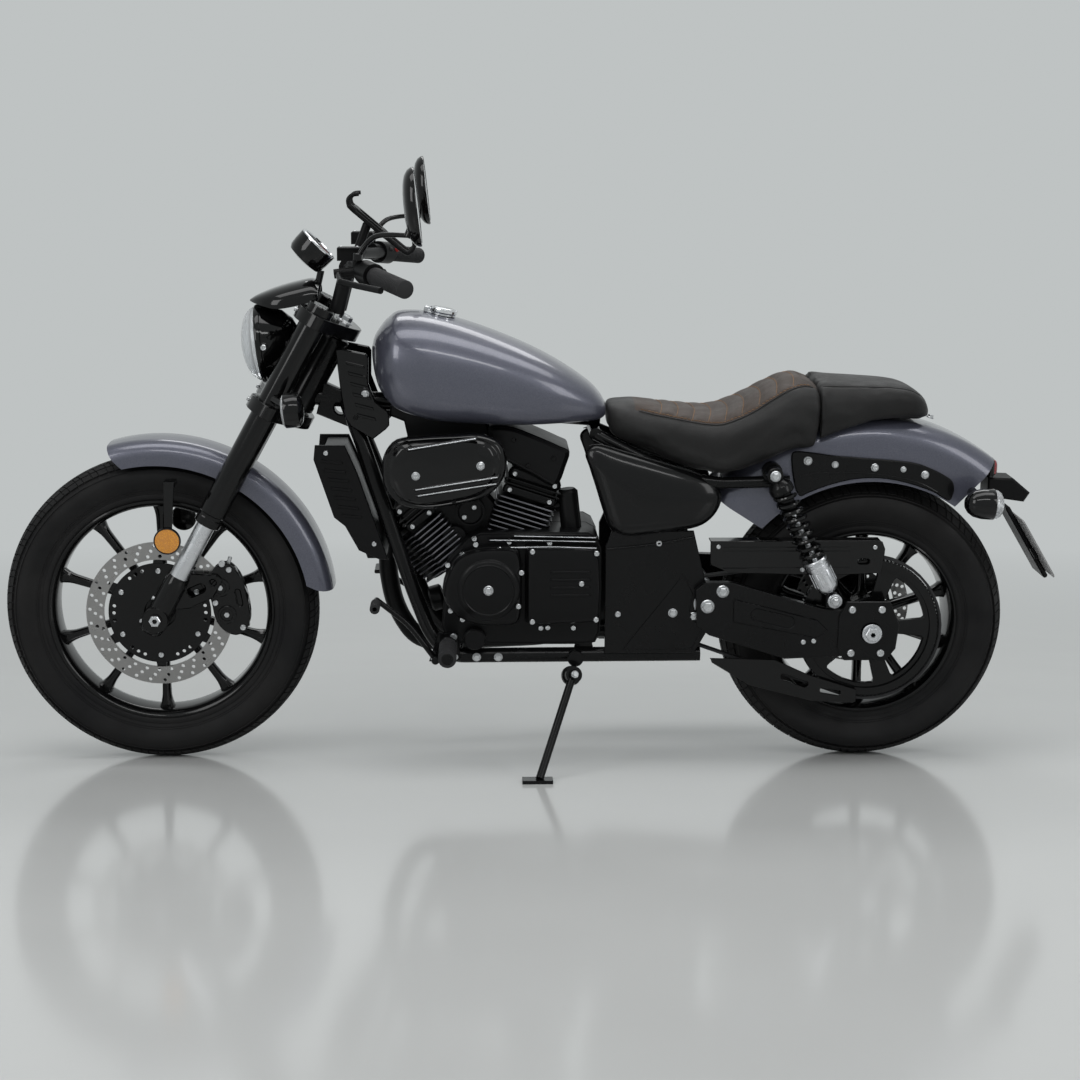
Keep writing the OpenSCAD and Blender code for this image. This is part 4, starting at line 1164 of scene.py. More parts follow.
def seats():
    rider = seat_pad("rider_seat_pad", RIDER, 6.0, "rider_seat", M["seat"])
    pillion = seat_pad("pillion_seat_pad", PILLION, 5.0, "pillion_seat", M["pillion"])
    spots = []
    for x in PLEATS:
        half = panel_half(x) - 10
        count = int(half * 2 / 6.4)
        for k in range(count):
            y = -half + (k + 0.5) * 2 * half / count
            at, normal = drop_on(rider, x - PLEAT_BOW * y * y, y)
            spots.append((at + normal * 0.1, normal, (2 * PLEAT_BOW * -y, 1, 0), 1.0))
    line = [976 + 7 * k for k in range(int((1316 - 976) / 7))]
    for side in (-1, 1):
        for x in line:
            at, normal = drop_on(rider, x, side * (panel_half(x) - 5))
            spots.append((at + normal * 0.1, normal, (1, 0, 0), 1.0))
    grown("seat_stitches", [(on_spots(stitch(), spots, M["thread"]), Matrix.Identity(4))], "chassis")
    # piping round the panel, along the pillion's top and down the join between the pads
    pipe = Shape()
    for side in (-1, 1):
        run = [drop_on(rider, x, side * panel_half(x))[0] for x in range(970, 1322, 8)]
        pipe.sweep(run, 1.7, sides=8)
        run = [drop_on(pillion, x, side * seat_line(x, PILLION)[2] * PIPING_SHARE)[0]
               for x in range(1334, 1540, 8)]
        pipe.sweep(run, 1.6, sides=8)
    piece("seat_piping", pipe, "chassis", M["pillion"])


# ---------------------------------------------------------------- wheels


def tyre_profile(radius, width, bead, bead_half, crown, depth):
    """Carcass section as (radius, y), from bead to bead; the tread blocks stand depth above it."""
    edge = math.asin(min(0.98, 0.42 * width / crown))
    top = [(radius - crown + (crown - depth) * math.cos(edge * k / 12),
            (crown - depth) * math.sin(edge * k / 12))
           for k in range(-12, 13)]
    drop = radius - crown * (1 - math.cos(edge)) - 6
    middle = bead + (radius - bead) * 0.5
    left = spline(
        [(bead, -bead_half), (bead + 5, -bead_half - 3), (bead + 12, -bead_half - 3.5),
         (bead + 15, -bead_half - 3), (middle, -width / 2 + 0.3), (drop, -width * 0.468)], 4
    )
    left = [(p[0], p[1]) for p in left]
    return left + top + [(r, -y) for r, y in reversed(left)]


def tread_block(radius, crown, corners, depth):
    """Tread block from corners (along, across), wrapped over the crown."""
    s = Shape()
    rings = []
    for lift, share in ((-0.6, 1.0), (depth - 0.5, 1.0), (depth, 0.94)):
        middle = sum((Vector(c) for c in corners), Vector((0, 0))) / len(corners)
        ring = []
        for c in corners:
            along, across = middle + (Vector(c) - middle) * share
            tilt = across / crown
            r = radius - crown + (crown - depth + lift) * math.cos(tilt)
            a = along / radius
            ring.append((r * math.cos(a), r * math.sin(a), (crown - depth + lift) * math.sin(tilt)))
        rings.append(ring)
    s.loft(rings)
    return s


def joined(*shapes):
    s = Shape()
    for other in shapes:
        s.add(other.points, other.faces)
    return s


TREAD_DEPTH = 3.6


def tyre(name, node, body, hub, radius, width, bead, bead_half, crown, pitches):
    depth = TREAD_DEPTH
    s = Shape()
    profile = tyre_profile(radius, width, bead, bead_half, crown, depth)
    s.lathe(profile, None, 144, closed=True)
    # fine mould lines on each wall
    for side in (-1, 1):
        for r in (bead + 20, bead + 24, radius - 26):
            mid = bead + (radius - bead) * 0.5
            y = width / 2 - 0.4 - 0.9 * ((r - mid) / (radius - mid)) ** 2 * 3
            if r < mid:
                y = bead_half + 3 + (width / 2 - bead_half - 3) * ((r - bead - 12) / (mid - bead - 12))
            s.lathe([(p, side * q) for p, q in circle(r, y - 0.6, 0.9, 6)], None, 96, closed=True)
    carcass = loose(s, M["tyre"])
    step = 2 * math.pi * radius / pitches
    w = width * 0.42
    blocks = []
    for side in (-1, 1):
        def bar(*corners):
            ordered = [(a * step, side * b * w) for a, b in corners]
            blocks.append(tread_block(radius, crown, ordered if side > 0 else ordered[::-1], depth))
        bar((0.05, 0.02), (0.55, 0.02), (0.70, 0.30), (0.20, 0.30))
        bar((0.60, 0.02), (0.98, 0.02), (1.13, 0.30), (0.75, 0.30))
        bar((0.24, 0.36), (0.82, 0.36), (0.98, 0.66), (0.40, 0.66))
        bar((0.88, 0.36), (1.18, 0.36), (1.34, 0.66), (1.04, 0.66))
        bar((0.44, 0.72), (0.98, 0.72), (1.10, 1.04), (0.56, 1.04))
        bar((1.04, 0.72), (1.38, 0.72), (1.50, 1.04), (1.16, 1.04))
    tread = around(joined(*blocks), pitches, M["tyre"])
    grown(name, [(carcass, hub), (tread, hub)], body, (node,), sharp=40)


def spoke(start, end, wide, deep, flare):
    """One spoke up local X: a crowned bar that spreads where it meets the hub and the rim."""
    s = Shape()
    rings = []
    for k in range(25):
        t = k / 24
        out = start + (end - start) * t
        swell = 1 + flare * (max(0, 0.16 - t) / 0.16) ** 2 + flare * (max(0, t - 0.82) / 0.18) ** 2
        waist = math.sin(math.pi * t)
        hw, hd = wide / 2 * swell * (1.04 - 0.2 * waist), deep * (1 - 0.12 * waist)
        ring = []
        for a, b in ((1, 0.35), (0.86, 0.8), (0.55, 1), (0.2, 0.86), (-0.2, 0.86), (-0.55, 1), (-0.86, 0.8),
                     (-1, 0.35)):
            ring.append((out, a * hw, b * hd))
        ring += [(x, y, -z) for x, y, z in reversed(ring)]
        rings.append(ring)
    s.loft(rings)
    return s


def rim(name, node, body, hub, window, bead, half, hub_r, hub_half, wide, deep):
    s = Shape()
    s.lathe(
        [(window, -half * 0.5), (window + 2, -half * 0.8), (bead - 6, -half + 1.5), (bead - 3, -half),
         (bead, -half + 1), (bead, half - 1), (bead - 3, half), (bead - 6, half - 1.5),
         (window + 2, half * 0.8), (window, half * 0.5)],
        None, 128, closed=True,
    )
    # hub: stepped barrel with a bearing recess each side
    s.lathe(
        [(10.06, -hub_half), (20, -hub_half), (21, -hub_half + 3), (hub_r - 8, -hub_half + 3),
         (hub_r - 4, -hub_half + 7), (hub_r - 4, -hub_half * 0.55), (hub_r, -hub_half * 0.4),
         (hub_r, hub_half * 0.4), (hub_r - 4, hub_half * 0.55), (hub_r - 4, hub_half - 7),
         (hub_r - 8, hub_half - 3), (21, hub_half - 3), (20, hub_half), (10.06, hub_half)],
        None, 64, closed=True,
    )
    star = around(spoke(hub_r - 5, window + 3, wide, deep, 0.75), 10, M["wheel"])
    meshes = [(loose(s, M["wheel"]), hub), (star, hub @ turn(90, "Z"))]
    grown(name, meshes, body, (node,), sharp=38)


def disc_wedge(outer, inner, holes, count, low, high):
    """One part of a perforated ring, bounded by two radii."""
    half = math.pi / count
    arc = [half * (k / 4 - 1) for k in range(9)]
    outline = [(outer * math.cos(a), outer * math.sin(a)) for a in arc]
    outline += [(inner * math.cos(a), inner * math.sin(a)) for a in reversed(arc)]
    cuts = [circle(r * math.cos(a), r * math.sin(a), size, 10) for r, a, size in holes]
    s = Shape()
    s.pierced(outline, cuts, low, high)
    # the walls between neighbours are left out, so the ring closes without inner faces
    keep = []
    for f in s.faces:
        angles = {round(math.atan2(s.points[i].y, s.points[i].x), 4) for i in f}
        if not (len(angles) == 1 and abs(abs(angles.pop()) - half) < 1e-3):
            keep.append(f)
    s.faces = keep
    s.marks = [0] * len(keep)
    return s


def brake_disc(name, node, body, hub, outer, inner, low, high, arms, bolt_r, carrier_r, centre_r, steel):
    count = 30
    step = 2 * math.pi / count
    holes = [(inner + (outer - inner) * (0.2 + 0.3 * k), (k - 1) * step * 0.3, 3.9) for k in range(3)]
    ring = around(disc_wedge(outer, inner, holes, count, low, high), count, steel)
    s = Shape()
    side = 1 if low > 0 else -1
    inner_face, outer_face = (low - side * 4, low + side * 1) if side > 0 else (high - 1, high + 4)
    for k in range(arms):
        a = 2 * math.pi * (k + 0.5) / arms
        m = Matrix.Rotation(a, 4, "Z")
        s.pierced(
            [(carrier_r - 3, -11), (inner + 7, -8), (inner + 7, 8), (carrier_r - 3, 11)],
            [], inner_face + 0.5, outer_face - 0.5, m, 0, 0.8,
        )
        at = hub @ m @ Vector((bolt_r, 0, inner_face if side < 0 else outer_face))
        bolt(body, "screw", at, (0, side, 0), 5.5)
    spots = [circle(0, 0, centre_r - 14, 48)]
    for k in range(arms):
        for j in (-1, 0, 1):
            a = 2 * math.pi * k / arms + 0.16 * j
            spots.append(circle((carrier_r - 11) * math.cos(a), (carrier_r - 11) * math.sin(a), 3.6, 12))
    s.pierced(circle(0, 0, carrier_r, 96), spots, inner_face, outer_face, None, 0, 0.8)
    grown(name, [(ring, hub), (loose(s, M["wheel"]), hub)], body, (node,), merge=0.02)


def wheels():
    tyre("front_tyre_tread", "front_tyre", "front_wheel", FRONT_HUB, FRONT_R, FRONT_W, 229, 36, 55, 56)
    tyre("rear_tyre_tread", "rear_tyre", "rear_wheel", REAR_HUB, REAR_R, REAR_W, 190.5, 58, 90, 46)
    rim("front_wheel_casting", "front_rim", "front_wheel", FRONT_HUB, 214, 229, 40, 42, 50, 20, 12.5)
    rim("rear_wheel_casting", "rear_rim", "rear_wheel", REAR_HUB, 179, 190.5, 62, 50, 78, 22, 17.5)
    brake_disc("front_brake_rotor", "front_disc", "front_wheel", FRONT_HUB, 148, 112, -63, -58, 6, 88, 104,
               46, M["front_steel"])
    brake_disc("rear_brake_rotor", "rear_disc", "rear_wheel", REAR_HUB, 121, 90, 84, 89, 5, 66, 82, 40,
               M["rear_steel"])


def rear_pulley():
    s = Shape()
    windows = []
    for k in range(5):
        middle, half = 2 * math.pi * k / 5 + 0.63, math.radians(25)
        turns = [middle + half * (j / 5 - 1) for j in range(11)]
        edge = [(117, t) for t in turns] + [(112, middle + half * 1.06), (64, middle + half * 0.93)]
        edge += [(60, t) for t in reversed(turns[2:-2])] + [(64, middle - half * 0.93),
                                                            (112, middle - half * 1.06)]
        windows.append([(r * math.cos(t), r * math.sin(t)) for r, t in edge])
    s.pierced(circle(0, 0, 128, 96), windows + [circle(0, 0, 14, 32)], -101.5, -90, REAR_HUB, 0, 1.2)
    s.lathe([(127, -107.5), (141.5, -107.5), (142.5, -106.5), (142.5, -89), (127, -89)], REAR_HUB, 120,
            closed=True)
    s.lathe([(13.2, -108), (30, -108), (34, -104), (50, -88), (50, -78.2), (13.2, -78.2)], REAR_HUB, 64,
            closed=True)
    piece("rear_belt_pulley", s, "rear_wheel", M["wheel"], ("rear_pulley",), sharp=35)
    tooth = Shape()
    tooth.block((141.5, -1.9, -107), (144.6, 1.9, -89.5), edge=0.6)
    grown("rear_pulley_teeth", [(around(tooth, 110, M["wheel"]), REAR_HUB)], "rear_wheel")


# ---------------------------------------------------------------- fasteners


def cap_screw():
    """Round-headed screw with a dished top."""
    s = Shape()
    s.lathe([(0, 0.35), (0.46, 0.35), (0.5, 0.62), (0.85, 0.72), (1.0, 0.55), (1.0, -0.3), (0, -0.3)][::-1],
            None, 14)
    return s


def hex_nut():
    """Flanged hexagon head."""
    s = Shape()
    s.lathe([(0, -0.3), (1.25, -0.3), (1.3, 0.0), (1.15, 0.18), (0, 0.18)], None, 18)
    s.lathe([(0, 0.1), (1.0, 0.1), (1.0, 0.75), (0.86, 0.9), (0.45, 0.9), (0.4, 0.8), (0, 0.8)], None, 6)
    return s


BOLTS = {}


def bolt(body, kind, at, direction, size):
    """Notes a fastener, whose size is its head's radius in millimetres."""
    side = (1, 0, 0) if abs(Vector(direction).normalized().x) < 0.9 else (0, 0, 1)
    BOLTS.setdefault((body, kind), []).append((tuple(at), tuple(direction), side, size))


def bolts(kind, y, size, *spots, body="chassis"):
    """Fasteners at places [x, z] of the side view, all at one y and facing away from the middle plane."""
    for x, z in spots:
        bolt(body, kind, (x, y, z), (0, math.copysign(1, y), 0), size)


def fasteners():
    for body in sorted({b for b, _ in BOLTS}):
        meshes = []
        for kind, head, material in (("screw", cap_screw, "steel"), ("nut", hex_nut, "steel"),
                                     ("black", cap_screw, "frame")):
            spots = BOLTS.get((body, kind))
            if spots:
                meshes.append((on_spots(head(), spots, M[material]), Matrix.Identity(4)))
        grown(body + "_fasteners", meshes, body)


# ---------------------------------------------------------------- engine

CRANK = Vector((670, 0, 319))


FIN_PITCH, HEAD_FIN_PITCH = 10.4, 9.5


def barrel(tilt):
    return Matrix.Translation(CRANK) @ turn(tilt, "Y")


def fin_outline(front, back, half, notch):
    """Round-cornered fin, narrowed at its front where the frame tube passes."""
    out = []
    r = 12
    for cx, cy, start in ((back - r, half - r, 0), (front + r + notch, half - r, 90)):
        out += [(cx + r * math.cos(math.radians(start + 15 * k)),
                 cy + r * math.sin(math.radians(start + 15 * k)))
                for k in range(7)]
    back_half = [(x, -y) for x, y in reversed(out)]
    if notch:
        out += [(front, 44), (front, -44)]
    return out + back_half


def rimmed(mesh):
    """Gives the upright edges of flat fins a lighter metal, as painted highlight: the light lines that run along
    the fins.
    """
    edge = len(mesh.materials)
    mesh.materials.append(M["fin_edge_highlight"])
    for face in mesh.polygons:
        if abs(face.normal.z) < 0.9:
            face.material_index = edge
    return mesh


def cylinders():
    meshes = []
    for tilt, start, length, front, back, notch in ((-40, 120, 168, -60, 60, 44), (18, 150, 152, -60, 62, 0)):
        place = barrel(tilt)
        count = int((length * 0.62) / FIN_PITCH)
        fin = Shape()
        fin.pierced(fin_outline(front, back, 75, notch), [], 0, 3.4, None, 0, 0.9)
        meshes.append((rimmed(in_row(fin, count, FIN_PITCH, M["fins"])), place @ shift(0, 0, start + 6)))
        core = Shape()
        tall = count * FIN_PITCH
        core.lathe([(0, 0), (50, 0), (50, tall + 8), (0, tall + 8)], shift(0, 0, start), 40)
        low, top = start + tall + 6, start + length
        # cylinder head with its own shorter fins, rocker cover and screws
        hx0, hx1, hy = front + (notch or 6), back - 4, 70 if not notch else 66
        core.block((hx0, -hy, low), (hx1, hy, low + 16), edge=4)
        core.block((hx0 + 5, -hy + 6, low + 14), (hx1 - 5, hy - 6, top - 18), edge=6)
        core.block((hx0 + 1, -hy + 2, top - 20), (hx1 - 1, hy - 2, top), edge=9)
        meshes.append((loose(core, M["engine"]), place))
        head_fin = Shape()
        head_fin.pierced(
            [(hx0 - 2, -hy - 3), (hx1 + 3, -hy - 3), (hx1 + 3, hy + 3), (hx0 - 2, hy + 3)], [], 0, 3.0, None,
            0, 0.8
        )
        rows = max(2, int((top - 24 - low - 18) / HEAD_FIN_PITCH))
        meshes.append((in_row(head_fin, rows, HEAD_FIN_PITCH, M["fins"]), place @ shift(0, 0, low + 19)))
        for x in (hx0 + 14, hx1 - 14):
            for z in (low + 8, top - 10):
                for side in (-1, 1):
                    bolt("chassis", "screw", place @ Vector((x, side * (hy + 0.5), z)), (0, side, 0), 5.0)
    grown("cylinder_barrels", meshes, "chassis", ("cylinders",), sharp=35)


CASE = [(574, 302), (582, 282), (601, 266), (740, 264), (866, 264), (884, 268), (894, 288), (896, 380),
        (895, 462), (884, 486), (868, 495), (760, 496), (652, 495), (628, 482), (594, 448), (585, 436)]


def engine():
    s = Shape()
    s.plate(CASE, -108, 108, edge=5)
    # joint line and sump ribs
    for y in (-104, 0, 104):
        s.plate([(x + (735 - x) * -0.004, z + (380 - z) * -0.004) for x, z in CASE], y - 1.6, y + 1.6,
                edge=0.5)
    for x in range(610, 880, 22):
        s.block((x, -84, 259), (x + 5, 84, 268), edge=1.5)

    clutch = closed_curve([(576, 386), (596, 336), (640, 314), (690, 310), (724, 314), (733, 336), (735, 386),
                           (733, 446),
                     (722, 468), (690, 472), (640, 468), (600, 446)], 4)
    back_cover = [(742, 314), (752, 311), (840, 312), (880, 315), (892, 330), (895, 390), (892, 450),
                  (880, 469), (840, 472), (752, 473), (742, 470)]

    def covers(side):
        place = ACROSS if side > 0 else ACROSS_LEFT
        s.pillow([(x, -z) for x, z in clutch], [(1.0, 107), (1.0, 124), (0.985, 128), (0.97, 129),
                                                (0.965, 140), (0.93, 145.5), (0.86, 148),
                        (0.7, 149.4), (0.4, 150), (0.02, 150)], place)
        s.pillow([(x, -z) for x, z in back_cover], [(1.0, 107), (1.0, 122), (0.985, 126), (0.965, 127),
                                                    (0.955, 136), (0.92, 141), (0.84, 143),
                        (0.5, 144), (0.02, 144)], place)
        dome = shift(668, side * 140, 388) @ outward(side)
        s.lathe([(0, 17.6), (20, 17.4), (44, 16.2), (56, 13.8), (62, 10), (65, 4), (66, -6), (0, -6)][::-1],
                dome, 64)
        s.lathe([(49, 15.2), (51, 16.6), (53, 14.6)], dome, 64, closed=True)
        # slim ribs over the rear cover
        for k in range(4):
            z = 372 + 16 * k
            s.block((792, side * 142, z), (872, side * 146.5, z + 5), edge=1.6)

    s.both(covers)
    # ledge along the top of the case; its thin bright metal lines are painted highlight along the black ledge
    for z, y, x0, x1 in ((480, -118, 667, 886), (487, -112, 716, 888)):
        s.sweep([(x0, y, z + 2), (760, y, z + 1), (x1, y, z - 2)], 2.6, sides=10)
        s.sweep([(x0 + 4, y - 2.2, z + 3), (760, y - 2.2, z + 2), (x1 - 4, y - 2.2, z - 1)], 1.3, 1, sides=8)
    # a further thin bright metal line, also painted highlight
    s.sweep([(713, -130, 470), (800, -130, 471), (884, -130, 468)], 1.6, 1, sides=8)
    # starter, drive housing and oil filter
    s.rod((600, -64, 476), (600, 64, 476), 24)
    s.rod((640, -112, 280), (640, -132, 280), 22, edge=3)
    s.rod((575, 40, 330), (548, 40, 322), 27, edge=4)
    piece("engine_cases", s, "chassis", [M["engine"], M["metal"]], ("engine_block",),
          sharp=32)
    # screws: left side as seen, and the same ring on the right
    for x, z, y in ((587, 434, -128), (592, 340, -128), (734, 423, -150), (728, 354, -150), (854, 399, -146),
                    (640, 484, -109), (643, 476, -128), (710, 478, -112), (791, 476, -116), (840, 299, -110),
                    (788, 300, -110), (774, 299, -110), (884, 460, -142), (884, 324, -142), (756, 464, -142),
                    (756, 320, -142), (616, 322, -128), (690, 466, -128), (616, 456, -128)):
        bolts("screw", y, 5.4, (x, z))
        bolts("screw", -y, 5.4, (x, z))
    for side in (-1, 1):
        bolts("nut", side * 158, 8, (668, 388))


def inlet():
    """Air box under the tank, the lid over the rear head and the throttle body in the vee."""
    s = Shape()
    s.plate([(512, 655), (668, 655), (672, 690), (664, 716), (600, 722), (540, 730), (474, 748), (470, 724),
             (500, 712)],
            -54, 54, edge=5)
    lid = closed_curve([(668, 699), (682, 706), (720, 702), (774, 681), (814, 663), (832, 652), (824, 622),
                                     (812, 590), (796, 580), (752, 606), (702, 636), (676, 668)])
    for half, share in ((74, 0.94), (68, 1.0)):
        s.plate([(752 + (x - 752) * share, 645 + (z - 645) * share) for x, z in lid], -half, half, edge=5)
    for side in (-1, 1):
        s.sweep([(706, side * 74, 640), (760, side * 74.6, 612), (800, side * 74, 588)], 2.2, sides=8)
    # vee filler with the throttle body and its clamp
    s.plate([(548, 540), (590, 566), (668, 566), (700, 528), (676, 482), (610, 470), (566, 494)], -46, 46,
            edge=8)
    s.rod((632, -70, 530), (632, 70, 530), 26, edge=4)
    s.lathe([(26, -66), (29, -66), (29, -58), (26, -58)], shift(632, 0, 530) @ ACROSS, 40, closed=True)
    # breather canister behind the rear barrel
    s.rod((838, -46, 486), (828, -46, 574), 21, edge=6)
    s.rod((820, -46, 540), (780, -46, 536), 8)
    piece("inlet_parts", s, "chassis", M["fins"], sharp=34)
    bolts("black", -75, 4.6, (720, 678), (800, 640), (748, 626))
    bolts("screw", -70.5, 5, (640, 540), (620, 520))


def oval(cx, cz, length, height, tilt=0.0, steps=12):
    """Slot outline with round ends."""
    out = []
    half = (length - height) / 2
    for sign, start in ((1, -90), (-1, 90)):
        for k in range(steps + 1):
            a = math.radians(start + 180 * k / steps)
            out.append((sign * half + height / 2 * math.cos(a), height / 2 * math.sin(a)))
    c, n = math.cos(math.radians(tilt)), math.sin(math.radians(tilt))
    return [(cx + x * c - z * n, cz + x * n + z * c) for x, z in out]


def air_cleaner():
    s = Shape()
    outline = closed_curve([(459, 627), (464, 662), (488, 690), (540, 698), (600, 701), (652, 702),
                            (692, 684), (705, 646),
                      (694, 606), (662, 576), (610, 562), (540, 552), (492, 562), (466, 590)], 4)
    s.pillow([(x, -z) for x, z in outline], [(0.92, 121), (0.985, 124), (1.0, 130), (1.0, 146), (0.99, 152),
                                             (0.965, 157), (0.93, 159.5),
                    (0.9, 158.5), (0.88, 157.5), (0.86, 159), (0.83, 163), (0.79, 166), (0.6, 167.5),
                                             (0.02, 168)],
             ACROSS_LEFT)
    # rails that climb rearward over the face; the thin bright metal lines on their tops are painted highlight
    for x0, z0, x1, z1, r in ((508, 674, 648, 697, 4.5), (521, 594, 690, 620, 4), (526, 582, 688, 607, 4)):
        s.sweep([(x0, -165.5, z0), (x1, -165.5, z1)], r, sides=12)
        s.sweep([(x0 + 4, -165.5 - r, z0 + 1), (x1 - 4, -165.5 - r, z1)], 1.3, 1, sides=8)
    s.rod((606, -122, 630), (606, -22, 630), 33)
    piece("air_cleaner_cover", s, "chassis", [M["gloss"], M["metal"]], ("air_cleaner",),
          sharp=32)
    bolts("nut", -168.5, 6.6, (526, 622), (653, 642))
    bolts("black", -158.5, 4.2, (489, 672), (600, 690), (680, 660), (600, 571), (500, 576))


def radiator():
    s = Shape()
    # side shields reach forward of the core and step back at their lower end
    profile = [(322, 667), (319, 638), (358, 520), (380, 502), (407, 452), (446, 434), (466, 432), (406, 612),
               (382, 667)]
    s.plate(profile, -74, -64, edge=2)
    s.plate(profile, 64, 74, edge=2)
    low, high = Vector((384, 0, 514)), Vector((330, 0, 664))
    along = (high - low).normalized()
    s.plate([(340, 662), (424, 434), (462, 434), (402, 610), (380, 662)], -65, 65, edge=1)
    for side in (-1, 1):
        for k in range(7):
            x, z = 372 - 6.2 * k, 522 + 18.5 * k
            s.plate([(x, z), (x + 42, z - 4), (x + 42, z + 1), (x, z + 6)], side * 73, side * 76.5, 0, 1)
        bolts("screw", side * 74.4, 5, (438, 466), (344, 652))
    piece("radiator_frame", s, "chassis", M["engine"], ("radiator",), sharp=32)
    fin = Shape()
    fin.block((-5.5, -62, -0.35), (1.5, 62, 0.35), edge=0.1)
    core = in_row(fin, 44, 3.3, M["fins"])
    # the pattern's X points across the core once Z lies along it
    swing = Matrix((Vector((along.z, 0, -along.x)), Vector((0, 1, 0)), along)).transposed().to_4x4()
    swing.translation = Vector((low.x + 1.5, 0, low.z + 3))
    grown("radiator_fins", [(core, swing)], "chassis")


def neck_covers():
    s = Shape()
    outline = [(366, 858), (378, 860), (426, 850), (431, 842), (430, 792), (444, 754), (468, 735), (471, 728),
               (471, 706), (464, 698), (438, 678), (394, 704), (384, 720), (376, 764)]

    def cover(side):
        s.plate(outline, side * 58, side * 66, edge=2.5)
        for k in range(6):
            x, z = 386 + 4.2 * k, 836 - 21 * k
            vane = [(x, z), (x + 36, z - 9), (x + 38, z - 15), (x + 2, z - 7)]
            s.plate(vane, side * 65, side * 69.6, edge=1.4)
        bolts("nut", side * 66.5, 6.5, (424, 770))
        bolts("black", side * 66.5, 5, (404, 722))

    s.both(cover)
    piece("neck_cover_panels", s, "chassis", M["gloss"], ("neck_covers",), sharp=32)


# ---------------------------------------------------------------- frame

RAIL = [(884, 50, 686), (1000, 88, 632), (1100, 112, 596), (REAR_X - 170, 112, 600)]


def frame_tubes():
    s = Shape()
    s.lathe([(15.1, 500), (27, 500), (30, 503), (30, 512), (28.4, 514), (28.4, 650), (30, 652), (30, 661),
             (27, 664), (15.1, 664)], FORK, 64, closed=True)
    spine_front = 43.8 + (758 - 295.9) * math.tan(RAKE)
    s.rod((spine_front, 0, 758), (896, 0, 712), 18, sides=32)
    s.plate([(338, 786), (430, 742), (400, 690), (322, 722)], -17, 17, edge=3, holes=[circle(372, 734, 13)])
    s.rod((884, -62, 688), (884, 62, 688), 12)
    for side in (-1, 1):
        s.sweep(bends([(x, side * y, z) for x, y, z in RAIL], 60), 12, sides=20)
        s.rod((1234, side * 104, 620), (1234, side * 124, 620), 20)
        s.rod((1234, side * 122, 620), (1234, side * 169, 620), 8)
        bolts("nut", side * 168, 8.5, (1234, 620))
    piece("main_frame_tubes", s, "chassis", M["frame"], ("backbone",), sharp=40)


def cradle():
    s = Shape()

    def half(side):
        path = [(384, 24, 748), (435, 60, 615), (509, 72, 388), (549, 84, 283), (589, 95, 238),
                (1099, 95, 240)]
        s.sweep(bends([(x, side * y, z) for x, y, z in path], 55, 8), 15, sides=24)
        s.plate([(903, 248), (1085, 248), (1114, 300), (1140, 350), (1104, 400), (1080, 500), (916, 500),
                 (903, 470)],
                side * 110, side * 120, edge=0.9, holes=[circle(1108, 350, 26.1, 32)])
        # raised lower half of the plate and the rolled lip along its upper edge
        s.plate([(1060, 412), (1026, 367), (966, 291), (940, 256), (1078, 256), (1102, 300), (1074, 336),
                 (1080, 372)],
                side * 119, side * 121.8, edge=1.0)
        s.sweep(spline([(906, side * 120.4, 464), (1000, side * 121, 474), (1082, side * 120.4, 489)], 6),
                2.4, sides=10)
        s.rod((1040, side * 106, 490), (1040, side * 100, 604), 10)
        bolts("screw", side * 120.5, 6, (929, 330), (1010, 476))
        bolts("nut", side * 120.5, 8, (1040, 332))
        bolts("nut", side * 120.5, 7, (1082, 324))
        bolts("nut", side * 110, 7, (644, 238), (688, 238))
        # engine mounting lugs on the lower tubes
        for x in (612, 840):
            s.plate([(x, 240), (x + 44, 240), (x + 34, 286), (x + 10, 286)], side * 84, side * 92, edge=1.5)

    s.both(half)
    for x, z in ((620, 236), (960, 238)):
        s.rod((x, -95, z), (x, 95, z), 12)
    s.rod((844, -95, 238), (844, -128, 238), 16)
    hinge = aim(STAND_HINGE, STAND_PIN)
    s.lathe([(0, 9), (19, 9), (20, 10), (20, 17), (19, 18), (0, 18)], hinge, 40)
    s.lathe([(0, -14), (6, -14), (6, 12), (0, 12)], hinge, 32)
    s.lathe([(0, -15), (9, -15), (10, -14), (10, -10), (9, -9), (0, -9)], hinge, 32)
    piece("cradle_tubes", s, "chassis", M["frame"], ("cradle",), sharp=38)


def side_stand():
    dressed("side_stand", M["frame"], 1.2)
    bolt("chassis", "nut", STAND_HINGE + STAND_PIN.normalized() * -15, -STAND_PIN, 6)


def swingarm():
    dressed("swingarm", M["frame"], 1.8)
    dressed("swingarm_spindles", M["metal"], 0.8)
    for side in (-1, 1):
        bolts("screw", side * 142.4, 5, (1303, 276), (1324, 278))
        bolts("screw", side * 147.4, 7.5, (1399, 254), (1399, 344), (1459, 254), (1459, 344))
        bolts("nut", side * 142.4, 10, (1138, 381))
        bolts("nut", side * 142.4, 11, (1108, 350))
        bolts("nut", side * 169, 8, (1361, 365))
    s = Shape()
    for side in (-1, 1):
        # axle nut, washer and chain-adjuster block on the arm's end
        s.lathe([(5.2, 0), (19, 0), (20, 1), (20, 3.5), (19, 4.5), (5.2, 4.5)],
                shift(REAR_X, side * 151, REAR_R) @ outward(side), 40, closed=True)
        s.lathe([(5.2, 0), (15.5, 0), (15.5, 8), (13.5, 9.6), (5.2, 9.6)],
                shift(REAR_X, side * 155, REAR_R) @ outward(side), 6, closed=True)
    piece("rear_axle_nuts", s, "chassis", M["metal"], sharp=30)
    r = Shape()
    # stiffening rib pressed along the left and right arms
    for side in (-1, 1):
        r.plate([(1160, 366), (1330, 322), (1352, 300), (1330, 284), (1160, 318)], side * 141, side * 145,
                edge=1.8, holes=[oval(1240, 325, 90, 24, -14)])
        r.plate([(1372, 262), (1386, 238), (1472, 238), (1490, 262), (1496, 312), (1476, 360), (1388, 360),
                 (1374, 330)],
                side * 141.5, side * 147, edge=1.4, holes=[circle(REAR_X, REAR_R, 20.6, 32)])
    piece("swingarm_ribs", r, "chassis", M["frame"], sharp=32)


